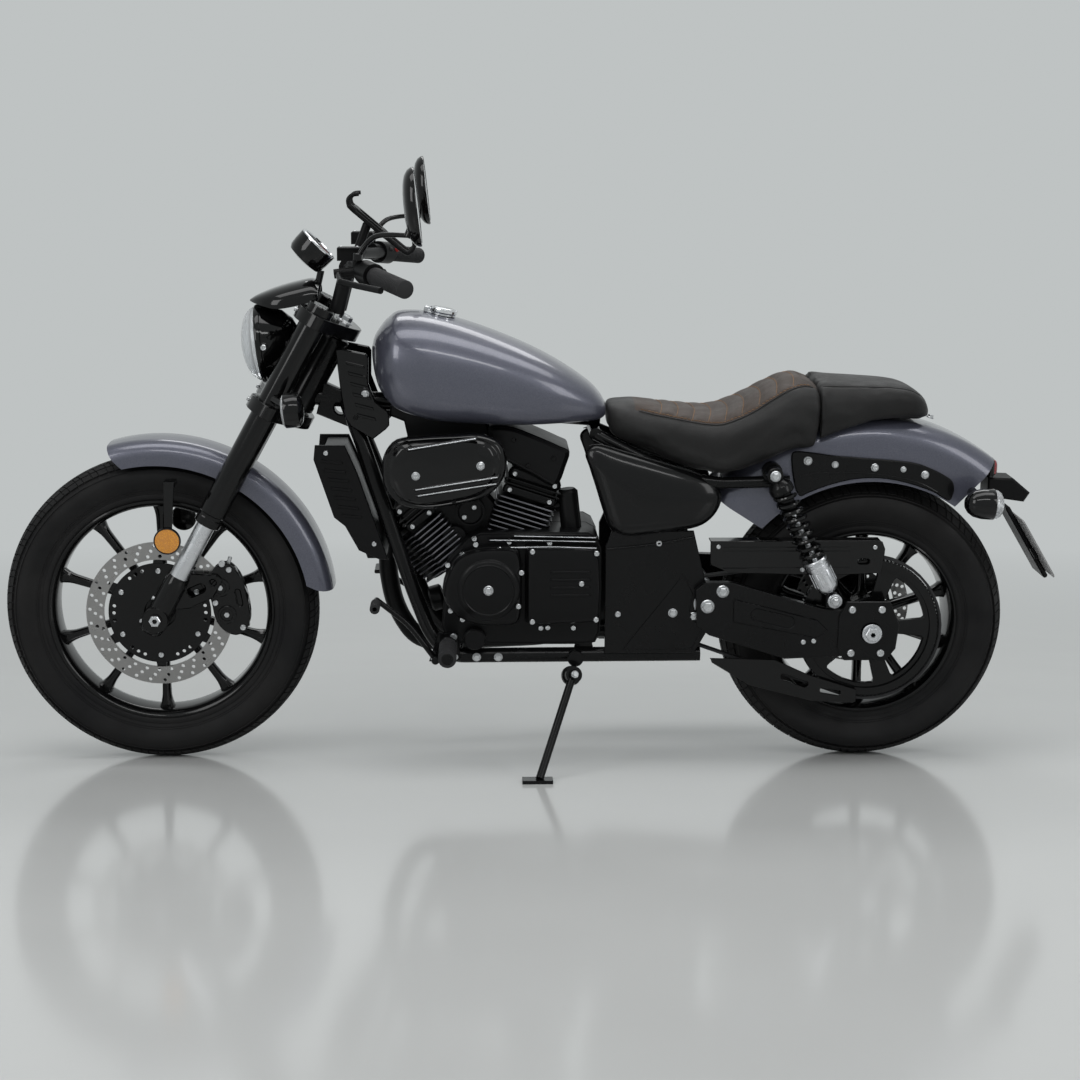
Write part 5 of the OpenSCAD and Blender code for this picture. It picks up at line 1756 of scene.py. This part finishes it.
def shocks():
    s = Shape()
    wire = []
    for side in (-1, 1):
        top, low = Vector((1234, side * 151, 620)), Vector((1361, side * 151, 365))
        along = (low - top).normalized()
        m = aim(top, along)
        length = (low - top).length
        s.rod(top + Vector((0, -12 * side, 0)), top + Vector((0, 14 * side, 0)), 16.5, 0, edge=2)
        s.rod(low + Vector((0, -8 * side, 0)), low + Vector((0, 14 * side, 0)), 14.5, 1, edge=2)
        s.lathe([(0, 14), (15, 14), (22, 22), (24.6, 27), (24.6, 38), (22, 41), (10, 42), (0, 42)], m, 40, 0)
        s.lathe([(0, 36), (5.8, 36), (5.8, length - 90), (0, length - 90)], m, 24, 1)
        s.lathe([(0, 40), (15, 40), (15, 74), (12, 80), (0, 80)], m, 32, 0)
        # silver lower can with its adjuster rings
        z = length - 94
        s.lathe([(0, z), (23, z), (24.6, z + 2), (24.6, z + 6), (22.6, z + 8), (22.6, z + 13), (24.0, z + 14),
                 (24.0, z + 19), (22.4, z + 20), (22.4, z + 60), (20, z + 66), (12, z + 74), (0, z + 76)], m,
                48, 1)
        for k in range(12):
            a = 2 * math.pi * k / 12
            s.block((-1.2, -2.2, z + 24), (1.0, 2.2, z + 56),
                    m @ Matrix.Rotation(a, 4, "Z") @ shift(22.6, 0, 0), 1, 0.6)
        spring = coil(19.6, 4.4, 9.2, length - 94 - 41, M["gloss"])
        wire.append((spring, m @ shift(0, 0, 41)))
    piece("shock_bodies", s, "chassis", [M["frame"], M["metal"]], ("shocks",), sharp=32)
    grown("shock_springs", wire, "chassis")


def struts():
    s = Shape()
    outline = closed_curve([(-166, 640), (-160, 659), (-120, 656), (-78, 650), (-27, 646), (73, 637),
                            (117, 623), (150, 606),
                      (162, 594), (164, 575), (156, 558), (138, 566), (119, 577), (65, 595), (10, 604),
                            (-44, 601),
                      (-97, 587), (-130, 574), (-147, 568), (-158, 590)])
    flat = [(REAR_X + x, z) for x, z in outline]

    def one(side):
        s.plate(flat, side * 98.2, side * 104, edge=2.2)
        for x, z, size in ((1307, 640, 9), (1442, 626, 8), (1544, 611, 8), (1362, 632, 7), (1500, 622, 6)):
            bolts("nut", side * 104.3, size * 0.8, (x, z))

    s.both(one)
    ridge = [(1292, 622), (1340, 628), (1400, 628), (1470, 622), (1530, 608), (1570, 588)]
    for side in (-1, 1):
        s.sweep(spline([(x, side * 103.6, z - 12) for x, z in ridge], 5), 1.8, sides=8)
    piece("fender_strut_plates", s, "chassis", M["frame"], ("fender_struts",), sharp=32)
    bolt("chassis", "nut", (1572, 0, 712), (0.35, 0, 1), 6)


def belt_side():
    dressed("drive_belt", M["rubber"], 0.6)
    s = Shape()
    top = [(1114, 478), (1120, 479), (1456, 479), (1461, 477), (1467, 462), (1466, 450), (1461, 414),
           (1456, 412), (1350, 408), (1152, 414), (1116, 430), (1114, 436)]
    s.plate(top, -118, -115, edge=1, holes=[oval(1424, 436, 26, 13, 0, 5)])
    for z in (466, 458, 424):
        s.rod((1140, -117.6, z), (1396, -117.6, z), 1.5, sides=8)
    s.block((1114, -116, 476), (1458, -82, 479), edge=1)
    low = [(1118, 236), (1250, 232), (1320, 200), (1419, 168), (1419, 142), (1412, 140), (1330, 144),
           (1200, 178), (1122, 226)]
    s.plate(low, -118, -115, edge=1, holes=[oval(1292, 188, 60, 13, -20, 5), oval(1366, 164, 44, 10, -10, 5)])
    piece("belt_guard_plates", s, "chassis", M["gloss"], ("belt_guards",), sharp=32)
    bolts("screw", -118.2, 4.6, (1130, 468), (1446, 466), (1300, 420))


def exhaust():
    s = Shape()
    left = [(526, 76, 547), (526, 98, 547), (505, 112, 538), (468, 112, 470), (454, 112, 390),
            (470, 112, 290), (520, 124, 208), (800, 176, 206), (880, 212, 225)]
    right_pipe = [(764, 76, 559), (764, 100, 559), (800, 136, 545), (822, 184, 490), (850, 212, 400),
                  (900, 212, 322)]
    for path in (left, right_pipe):
        s.sweep(bends(path, 45, 8), 19.6, sides=28)
    for a, b in (((880, 212, 225), (1400, 212, 262)), ((900, 212, 322), (1400, 212, 350))):
        a, b = Vector(a), Vector(b)
        n = (b - a).length
        s.lathe([(0, 0), (21, 0), (26, 2), (37.4, 30), (38, 40), (38, n - 44), (37.2, n - 42), (37.2, n - 38),
                 (38, n - 36), (38, n - 10), (36, n - 2), (33, n), (24, n), (22, n - 2), (22, n - 70),
                 (0, n - 70)], aim(a, b - a), 56)
        near = b - (b - a).normalized() * 24
        s.rod(near + Vector((0, -30, 0)), near + Vector((0, -39, 0)), 7)
    s.rod((1000, 120, 280), (1000, 212, 280), 10.8)
    piece("exhaust_pipes", s, "chassis", M["pipe"], ("exhaust",), sharp=36)
    for x, z in ((526, 547), (764, 559)):
        for move in (-26, 26):
            bolts("nut", 78, 5, (x + move * 0.7, z + move * 0.7))


def foot_controls():
    s = Shape()

    def half(side):
        s.plate([(548, 232), (612, 232), (606, 292), (566, 292)], side * 110.2, side * 122, edge=2.5)
        s.rod((587, side * 121, 275), (587, side * 152, 275), 11)
        s.rod((587, side * 150, 275), (587, side * 161, 275), 18, edge=2)
        s.rod((587, side * 160, 275), (587, side * 260, 275), 12.5, 0, edge=2)
        s.rod((562, side * 121, 250), (562, side * 180, 250), 8)
        bolts("nut", side * 122.4, 5.5, (558, 240), (600, 242), (598, 284))

    s.both(half)
    s.sweep(bends([(562, -168, 250), (510, -168, 322), (446, -168, 373)], 25), 5.6, sides=14)
    s.rod((446, -166, 373), (446, -196, 373), 5)
    s.sweep(bends([(562, 172, 250), (510, 172, 312), (446, 172, 350)], 25), 5.8, sides=14)
    s.block((425, 165, 348), (469, 229, 356), edge=2)
    piece("foot_control_arms", s, "chassis", M["frame"], ("foot_controls",), sharp=34)
    # ribbed rubber sleeves
    rib = Shape()
    rib.lathe([(11.5, 0), (17.4, 0.8), (17.9, 2), (17.9, 5.2), (17.4, 6.4), (11.5, 7)], None, 28, closed=True)
    small = Shape()
    small.lathe([(4.6, 0), (9.2, 0.6), (9.8, 1.6), (9.8, 3.6), (9.2, 4.6), (4.6, 5)], None, 24, closed=True)
    rubbers = []
    for side in (-1, 1):
        rubbers.append((in_row(rib, 13, 7.4, M["rubber"]), shift(587, side * 163, 275) @ outward(side)))
    rubbers.append((in_row(small, 9, 5.4, M["rubber"]), shift(446, -198, 373) @ turn(90, "X")))
    grown("foot_rubbers", rubbers, "chassis")


# turns a plate drawn in X and Y, thick along Z, so that its X runs up local Z
SWAP_XZ = Matrix(((0, 0, 1, 0), (0, 1, 0, 0), (1, 0, 0, 0), (0, 0, 0, 1)))


def rear_end():
    s = Shape()
    # arm to the lamp and the blank plate's hanger
    s.plate([(1690, 592), (1690, 552), (1766, 541), (1778, 560), (1742, 590)], -34, 34, edge=4)
    hanger = shift(REAR_X + 300, 0, 536) @ turn(-31, "Y")
    s.block((-16, -45, -170), (-6, 45, 2), hanger, 0, 3)
    s.block((-14, -60, -120), (-6, 60, -96), hanger, 0, 2)
    s.pierced(rounded_box(-88, 0, 139, 219, 9), [circle(-34, 65, 3.2, 16), circle(-34, -65, 3.2, 16)], -6,
              -3.2, hanger @ SWAP_XZ, 1, 0.4)
    rim_line = [(x, y, -2.9) for x, y in rounded_box(-88, 0, 133, 213, 7)]
    s.sweep([hanger @ SWAP_XZ @ Vector(p) for p in rim_line], 0.7, 1, sides=6, loop=True)
    piece("plate_hanger", s, "chassis", [M["satin"], M["plate"]], ("plate_holder",), sharp=32)

    lamps = Shape()
    # tail lamp: a crowned lens in a black bezel
    rings = []
    for x, grow in ((1690, 0), (1696, 0), (1699, -2.5)):
        rings.append([(x, y, z) for y, z in rounded_box(0, 613, 92 + 2 * grow, 42 + 2 * grow, 9)])
    lamps.loft(rings, 0)
    rings = []
    for x, grow in ((1697, -5), (1702, -5.5), (1705.5, -8), (1707.5, -13), (1708, -20)):
        rings.append([(x, y, z) for y, z in rounded_box(0, 613, 92 + 2 * grow, max(3, 42 + 2 * grow), 7)])
    lamps.loft(rings, 1)
    for side in (-1, 1):
        # indicator: bullet shell with a clear lens facing rearward, on a tapered stalk
        a, b = Vector((1608, side * 178, 568)), Vector((1686, side * 178, 564))
        m = aim(a, b - a)
        n = (b - a).length
        lamps.lathe([(0, 0), (10, 2), (19, 8), (26, 18), (30, 34), (31, n - 22), (30.4, n - 20), (0, n - 20)],
                    m, 40, 0)
        lamps.lathe([(0, n - 20), (28.6, n - 20), (28.6, n - 14), (25, n - 8), (17, n - 3), (8, n - 0.6),
                     (0, n)], m, 40, 2)
        lamps.sweep([(1642, side * 99, 574), (1643, side * 120, 573), (1645, side * 152, 569)],
                    lambda t: 10.5 - 2.5 * t, 0, sides=18)
    piece("rear_lamps", lamps, "chassis", [M["gloss"], M["red"], M["glass"]], ("rear_lights",),
          sharp=34)
    dressed("rear_caliper", M["frame"], 2.0)
    bolts("screw", 110.4, 5, (1410, 394), (1470, 394), (1440, 410))


def rounded_box(cx, cy, w, h, r, steps=5):
    r = min(r, w / 2 - 0.1, h / 2 - 0.1)
    out = []
    for sx, sy, start in ((1, 1, 0), (-1, 1, 90), (-1, -1, 180), (1, -1, 270)):
        for k in range(steps + 1):
            a = math.radians(start + 90 * k / steps)
            out.append((cx + sx * (w / 2 - r) + r * math.cos(a), cy + sy * (h / 2 - r) + r * math.sin(a)))
    return out


# ---------------------------------------------------------------- steering

BAR_MID = Vector((395.7, 0, 1018))
GRIP_IN = Vector((457.7, 288, 1022))
GRIP_END = Vector((517.7, 400, 1008))


def flip(p, side):
    """A right-hand place, moved to the left if side is -1."""
    return Vector((p[0], side * p[1], p[2]))


def fork():
    legs, low = Shape(), Shape()
    for side in (-1, 1):
        leg = FORK @ shift(-FORK_OFFSET, side * LEG_Y, 0)
        r = FORK_TUBE_R
        legs.lathe([(SLIDER_R + 0.3, 220), (r - 2, 220), (r, 222), (r, 236), (r - 1.6, 238), (r - 1.6, 244),
                    (r, 246), (r, 714), (r - 2, 716), (0, 716), (0, 230), (SLIDER_R + 0.3, 230)], leg, 48,
                   closed=True)
        low.lathe([(0, 96), (SLIDER_R, 96), (SLIDER_R, 221), (0, 221)], leg, 40, 1)
        low.lathe([(0, -32), (20, -32), (23, -29), (24, -22), (24, 78), (22, 92), (19.6, 98), (0, 98)], leg,
                  40, 0)
        # foot that clamps the axle, and its pinch screws
        out = shift(0, side * LEG_Y, FRONT_R) @ outward(side)
        low.lathe([(5.4, -24), (25, -24), (27, -21), (27, 21), (25, 24), (14, 24), (14, 27), (5.4, 27)], out,
                  40, 0, closed=True)
        low.lathe([(5.4, 24), (12, 24), (12, 29), (10.5, 30), (5.4, 30)], out, 6, 1, closed=True)
        for s in (-20, 34):
            bolt("steering", "screw", leg @ Vector((-24.2, 0, s)), FORK.to_3x3() @ Vector((-1, 0, 0)), 4.5)
        # cap on top of the leg
        legs.lathe([(0, 715), (r - 5, 715), (r - 6, 716), (0, 716)], leg, 24)
    low.plate([(20, 350), (44, 392), (64, 408), (120, 404), (132, 392), (112, 356), (64, 334), (38, 332)],
              -82, -74, 0, 2.5, [oval(78, 372, 38, 17, 24, 8), circle(112, 388, 6, 16)])
    piece("fork_upper_tubes", legs, "steering", M["fork"], ("fork_tubes",), sharp=34)
    piece("fork_lower_legs", low, "steering", [M["fork"], M["metal"]], ("fork_sliders",),
          sharp=34)
    dressed("fork_clamps", M["fork"], 1.5)
    for s in (-1, 1):
        bolt("steering", "screw", FORK @ Vector((-FORK_OFFSET, s * LEG_Y, 699.3)),
             FORK.to_3x3() @ Vector((0, 0, 1)), 10)
        for z in (483, 685):
            bolt("steering", "screw", FORK @ Vector((-93, s * 88, z)), FORK.to_3x3() @ Vector((-1, 0, 0)),
                 4.5)
    bolt("steering", "nut", FORK @ Vector((0, 0, 699.3)), FORK.to_3x3() @ Vector((0, 0, 1)), 14)
    front_caliper()


def polar(radius, degrees):
    """Point of the front brake, in the side view."""
    a = math.radians(degrees)
    return (radius * math.cos(a), FRONT_R + radius * math.sin(a))


def front_caliper():
    """Two halves either side of the disc, joined outside its rim."""
    s = Shape()
    half = closed_curve([polar(*q) for q in (
        (180, -10), (185, 2), (185, 22), (180, 35), (160, 40), (132, 38), (114, 28), (110, 12), (114, -4),
        (132, -14), (160, -16))])
    s.plate(half, -73.4, -66.6, 0, 2.6, [oval(*polar(166, 12), 34, 9, 100, 6)])
    s.plate(half, -54.4, -45, 0, 2.4)
    s.plate([polar(r, a) for r, a in ((153, -12), (184, -8), (186, 12), (184, 32), (153, 36), (153, 12))],
            -68, -53, 0, 1)
    for degrees in (0, 24):
        cap = shift(polar(138, degrees)[0], -73, polar(138, degrees)[1]) @ turn(90, "X")
        s.lathe([(0, -2), (19, -2), (19, 3.5), (17.5, 5), (13, 5), (12, 3.6), (0, 3.6)], cap, 36, 0)
        s.lathe([(0, 3), (5.5, 3), (5.5, 6), (0, 6)], cap, 6, 1)
    bolts("screw", -73.8, 6, polar(172, -9), polar(172, 33), polar(118, 12), body="steering")
    # bleed nipple and banjo fitting
    at = polar(176, 36)
    s.rod((at[0], -62, at[1]), (at[0] + 4, -62, at[1] + 14), 4, 1)
    s.rod((at[0] - 12, -70, at[1] + 2), (at[0] - 12, -78, at[1] + 2), 6.5, 1)
    piece("front_caliper_halves", s, "steering", [M["fork"], M["steel"]], ("front_caliper",),
          sharp=34)


def bars():
    dressed("handlebar", M["satin"], 0.6)
    dressed("hand_controls", M["satin"], 1.6)
    along = (GRIP_END - GRIP_IN).normalized()
    sleeve = Shape()
    sleeve.lathe([(11.2, 0), (16.2, 0.4), (17, 1.4), (17, 4.2), (16.2, 5.2), (11.2, 5.6)], None, 30,
                 closed=True)
    rows, extra = [], Shape()
    for side in (-1, 1):
        a, d = flip(GRIP_IN, side), flip(along, side)
        rows.append((in_row(sleeve, 19, 6.2, M["rubber"]), aim(a + d * 6, d)))
        extra.lathe([(11.2, 0), (17, 0), (17, 6), (15, 7), (11.2, 7)], aim(a, d), 32, 0, closed=True)
        extra.lathe([(0, 124), (16.4, 124), (17, 125.5), (17, 127.5), (14, 129.4), (0, 129.5)], aim(a, d), 32,
                    0)
        # screwed lid of the fluid reservoir
        lid = a - d * 76 + Vector((-38, -22, 40))
        extra.block(lid + Vector((2, 2, -0.5)), lid + Vector((44, 32, 1.6)), None, 0, 1.2)
        for dx in (8, 38):
            bolt("steering", "screw", lid + Vector((dx, 17, 1.6)), (0, 0, 1), 2.4)
        # buttons on the switch pod
        pod = a - d * 24
        for k, mark in ((-1, 0), (1, 2 if side > 0 else 0)):
            extra.rod(pod + d * 11 * k + Vector((20, 0, 4)), pod + d * 11 * k + Vector((27, 0, 8)), 5.4, mark,
                      edge=1.4)
    tag = flip(GRIP_IN, -1) - flip(along, -1) * 30
    extra.block(tag + Vector((-10, -24, -8)), tag + Vector((14, -22.4, 10)), None, 1, 0.6)
    grown("grip_sleeves", rows, "steering", ("grips",), sharp=40)
    piece("control_details", extra, "steering", [M["rubber"], M["tag"], M["knob"]], sharp=34)


def mirrors():
    s, glass = Shape(), Shape()
    perch = GRIP_IN + Vector((-34, -30, 32))
    at = Vector((538, 330, 1152))
    for side in (-1, 1):
        # the shell's crown faces forward and the glass faces the rider
        m = Matrix.Translation(flip(at, side)) @ turn(84, "Y")
        edge = [(73 * x, 55 * y) for x, y in circle(0, 0, 1, 72)]
        s.pillow(edge, [(0.02, -24), (0.35, -23.6), (0.62, -21.4), (0.82, -17), (0.94, -10.5), (0.99, -4),
                        (1.0, 0.4), (0.985, 2), (0.965, 1.9), (0.955, 0.2), (0.02, 0.2)], m)
        glass.pillow(edge, [(0.955, -0.6), (0.955, 0.9), (0.9, 1.35), (0.02, 1.4)], m)
        path = [perch, perch + Vector((34, 12, 40)), at + Vector((-14, -8, -52))]
        path = [flip(p, side) for p in path]
        s.sweep(spline(path, 8), lambda t: 5.5 - 0.8 * t, sides=16)
        s.rod(path[0] + Vector((0, 0, -6)), path[0] + Vector((1, 0, 9)), 9, edge=1.6)
        s.rod(path[2] + Vector((-4, 0, -4)), path[2] + Vector((9, 0, 26)), 8, edge=1.6)
    piece("mirror_shells", s, "steering", M["gloss"], ("mirrors",), sharp=34)
    piece("mirror_glasses", glass, "steering", M["mirror"], sharp=34)


LAMP_R = 79


def headlamp():
    s, r = Shape(), LAMP_R
    s.lathe([(0, -60), (20, -59.6), (44, -50), (62, -31), (r - 6, 0), (r - 3.4, 7), (r - 2.4, 9.6),
             (r - 2.4, 11), (r - 0.6, 12.4), (r, 15), (r, 20), (r - 1.4, 22.6), (r - 4, 23),
             (r - 6, 22), (r - 8, 15), (r - 18, 2), (r - 40, -16), (16, -26), (0, -26)], LAMP, 72)
    s.rod((292, 0, 861), (306, 0, 862), 10)
    for side in (-1, 1):
        s.rod((226, side * 76, 864), (226, side * 78.6, 864), 9)
        bolts("screw", side * 78.8, 6, (226, 864), body="steering")
    piece("headlamp_shell", s, "steering", M["gloss"], ("headlight",), sharp=32)
    bowl = Shape()
    bowl.lathe([(r - 8.4, 15.5), (r - 18.4, 2.6), (r - 40.4, -15), (16, -25), (0, -25.4), (0, -24.6),
                (16, -24.2), (r - 41, -14), (r - 19.2, 3.4), (r - 9.2, 16.1)], LAMP, 72, closed=True)
    bowl.lathe([(0, -24), (9, -24), (9, 2), (6.5, 8), (0, 9)], LAMP, 32)
    piece("headlamp_reflector", bowl, "steering", M["chrome"], sharp=40)
    lens = Shape()
    arc = [math.radians(7.5 * k) for k in range(12)]
    lens.lathe([(r - 5, 19)] + [((r - 5) * math.cos(a), 23 + 34.6 * math.sin(a)) for a in arc] + [(0, 57.6)],
               LAMP, 72)
    piece("headlamp_lens", lens, "steering", M["lamp"], ("headlight_lens",), sharp=34)
    visor()


def visor():
    """Arched shell over the lamp that narrows to a beak."""
    s, wall, steps = Shape(), 3, 24
    rings = []
    for x, half, top, low in spline([(194, 9, 952, 949), (206, 30, 960, 946), (225, 50, 968.5, 942),
                                     (251, 63, 978, 938), (285, 66, 987.5, 943), (318, 66, 993.5, 952),
                                     (333, 62, 984, 962)], 4):
        skins = []
        for back in (0, wall):
            skin = []
            for k in range(steps + 1):
                a = math.pi * k / steps
                c = math.cos(a)
                y = (half - back) * math.copysign(abs(c) ** 0.8, c)
                skin.append((x, y, low + (top - back - low) * max(0.0, math.sin(a)) ** 0.8))
            skins.append(skin)
        rings.append(skins[0] + skins[1][::-1])
    s.loft(rings)
    piece("headlamp_visor", s, "steering", M["gloss"], ("headlight_visor",), sharp=34)


def instruments():
    face = Vector((334, 0, 1063))
    up45 = Vector((1, 0, 1)).normalized()
    m = aim(face, up45)
    s = Shape()
    s.lathe([(0, -48), (24, -48), (36, -45), (40, -38), (41.6, -24), (42, -6), (42, -4), (0, -4)], m, 56, 0)
    s.lathe([(33.5, -4.5), (42, -4.5), (42, -1.4), (39.5, 0), (35.5, 0), (33.5, -2)], m, 56, 1, closed=True)
    s.lathe([(0, -4.2), (34, -4.2), (34, -3), (0, -3)], m, 56, 2)
    # hour-style ticks and a plain needle; the dial carries no words
    for k in range(21):
        a = math.radians(-135 + 13.5 * k)
        long = 6 if k % 2 == 0 else 3
        s.block((31.5 - long, -0.5, -3.1), (31.5, 0.5, -2.6), m @ Matrix.Rotation(a, 4, "Z"), 3, 0.1)
    s.block((-3, -0.9, -2.4), (26, 0.9, -1.8), m @ turn(-100, "Z"), 4, 0.2)
    s.lathe([(0, -2.6), (3.4, -2.6), (3.4, -1.2), (0, -1.0)], m, 20, 0)
    s.rod((336, 0, 1009), (318, 0, 934), 7)
    mats = [M["gloss"], M["chrome"], M["dial"], M["plate"], M["knob"]]
    piece("speedometer_unit", s, "steering", mats, ("speedometer",), sharp=34)

    h = Shape()
    c = BAR_MID + Vector((8, 0, 22))
    h.rod(c + Vector((0, 0, -8)), c + Vector((26, 0, 62)), 9, edge=2)
    m = Matrix.Translation(c + Vector((26, 0, 62))) @ turn(40, "Y")
    h.pierced(rounded_box(0, 0, 92, 68, 10), [oval(0, 18, 50, 9), oval(0, 0, 50, 9), oval(0, -18, 50, 9)], 0,
              8, m, 0, 1.4)
    h.pierced(rounded_box(0, 0, 84, 60, 8), [oval(0, 0, 60, 44)], 7, 12, m, 0, 1.0)
    for x in (-46, 46):
        for y in (-34, 34):
            o = 1 if x > 0 else -1
            # claw: an arm out of the plate with its tip curled back over; the lower two slide out
            out = x + (46 if x > 0 else -4)
            path = [(x * 0.7, y * 0.8, 5), (x, y, 6), (out, y, 7), (out + 8 * o, y, 15), (out + 7 * o, y, 27),
                    (out - 1 * o, y, 36)]
            h.sweep(spline(path, 5), lambda t: 5.6 - 1.6 * t, 0, m, sides=12)
    piece("phone_cradle", h, "steering", M["satin"], ("phone_holder",), sharp=34)


def front_lights():
    s = Shape()
    for side in (-1, 1):
        a, b = Vector((268, side * 190, 754)), Vector((312, side * 190, 758))
        m = aim(b, a - b)
        n = (b - a).length
        s.lathe([(0, 0), (12, 0.6), (24, 3), (32, 9), (34, 16), (34, n - 9), (33, n - 7), (0, n - 7)], m, 48,
                0)
        s.lathe([(0, n - 8), (31, n - 8), (31, n - 5), (26, n - 2), (14, n - 0.4), (0, n)], m, 48, 1)
        s.sweep([(249, side * 132, 768), (262, side * 148, 764), (286, side * 178, 756)], lambda t: 8 - t, 0,
                sides=16)
        # round reflector in its cup on a slim stay
        out = shift(29, side * 112, 482) @ outward(side)
        s.lathe([(0, 0), (25.5, 0), (27, 1.5), (27, 6.5), (26, 8), (24.6, 8), (24.6, 5.4), (0, 5.4)], out, 48,
                0)
        s.lathe([(0, 5), (24.4, 5), (24.2, 7.2), (20, 7.8), (0, 8)], out, 48, 2)
        s.plate([(22, 470), (36, 470), (46, 600), (24, 600)], side * 109, side * 112.2, 0, 1)
        s.plate([(24, 590), (46, 590), (46, 600), (24, 600)], side * 69, side * 110, 0, 1)
    piece("front_indicators", s, "steering", [M["gloss"], M["glass"], M["amber"]],
          ("front_signals",), sharp=34)


# ---------------------------------------------------------------- filler


def filler():
    neck = Shape()
    neck.lathe([(14, -34), (18, -34), (18, -1), (24, -1), (26, 0), (26, 3), (25, 4), (15, 4), (14, 3)], CAP,
               56, closed=True)
    for side in (-1, 1):
        neck.block((-39, side * 9, -1), (-31, side * 13, 6), CAP, 0, 1)
        neck.rod((-35, side * 9, 7), (-35, side * 13, 7), 4, 0, CAP, 24)
    neck.rod((-35, -12, 7), (-35, 12, 7), 1.8, 0, CAP, 16, 0.2)
    neck.block((-39, -13, -1), (-23, 13, 2), CAP, 0, 0.8)
    piece("filler_ring", neck, "chassis", M["metal"], ("filler_neck",), sharp=34)
    cap = Shape()
    cap.lathe([(0, -1.5), (9, -1.5), (9, 4.6), (0, 4.6)], CAP, 40)
    cap.lathe([(0, 4.5), (26.4, 4.5), (28, 6), (28, 10.6), (26.6, 12.6), (23, 13.6), (21.5, 13.1),
               (19.5, 13.1), (18.5, 13.8), (8, 14), (0, 14)], CAP, 64)
    cap.rod((-35, -8, 7), (-35, 8, 7), 4, 0, CAP, 24, 0.5)
    cap.block((-35, -8, 5), (-21, 8, 11), CAP, 0, 1)
    cap.block((14, -7, 10), (27.4, 7, 13.4), CAP, 0, 1.2)
    piece("fuel_lid", cap, NODE_BODY["fuel_cap"], M["chrome"], ("fuel_cap",), sharp=34)


# ---------------------------------------------------------------- the whole machine

for build in (fuel_tank, fenders, side_covers, seats, wheels, rear_pulley, cylinders, engine, inlet,
              air_cleaner, radiator, neck_covers, frame_tubes, cradle, side_stand, swingarm, shocks, struts,
              belt_side, exhaust, foot_controls, rear_end, fork, bars, mirrors, headlamp, instruments,
              front_lights, filler, fasteners):
    build()
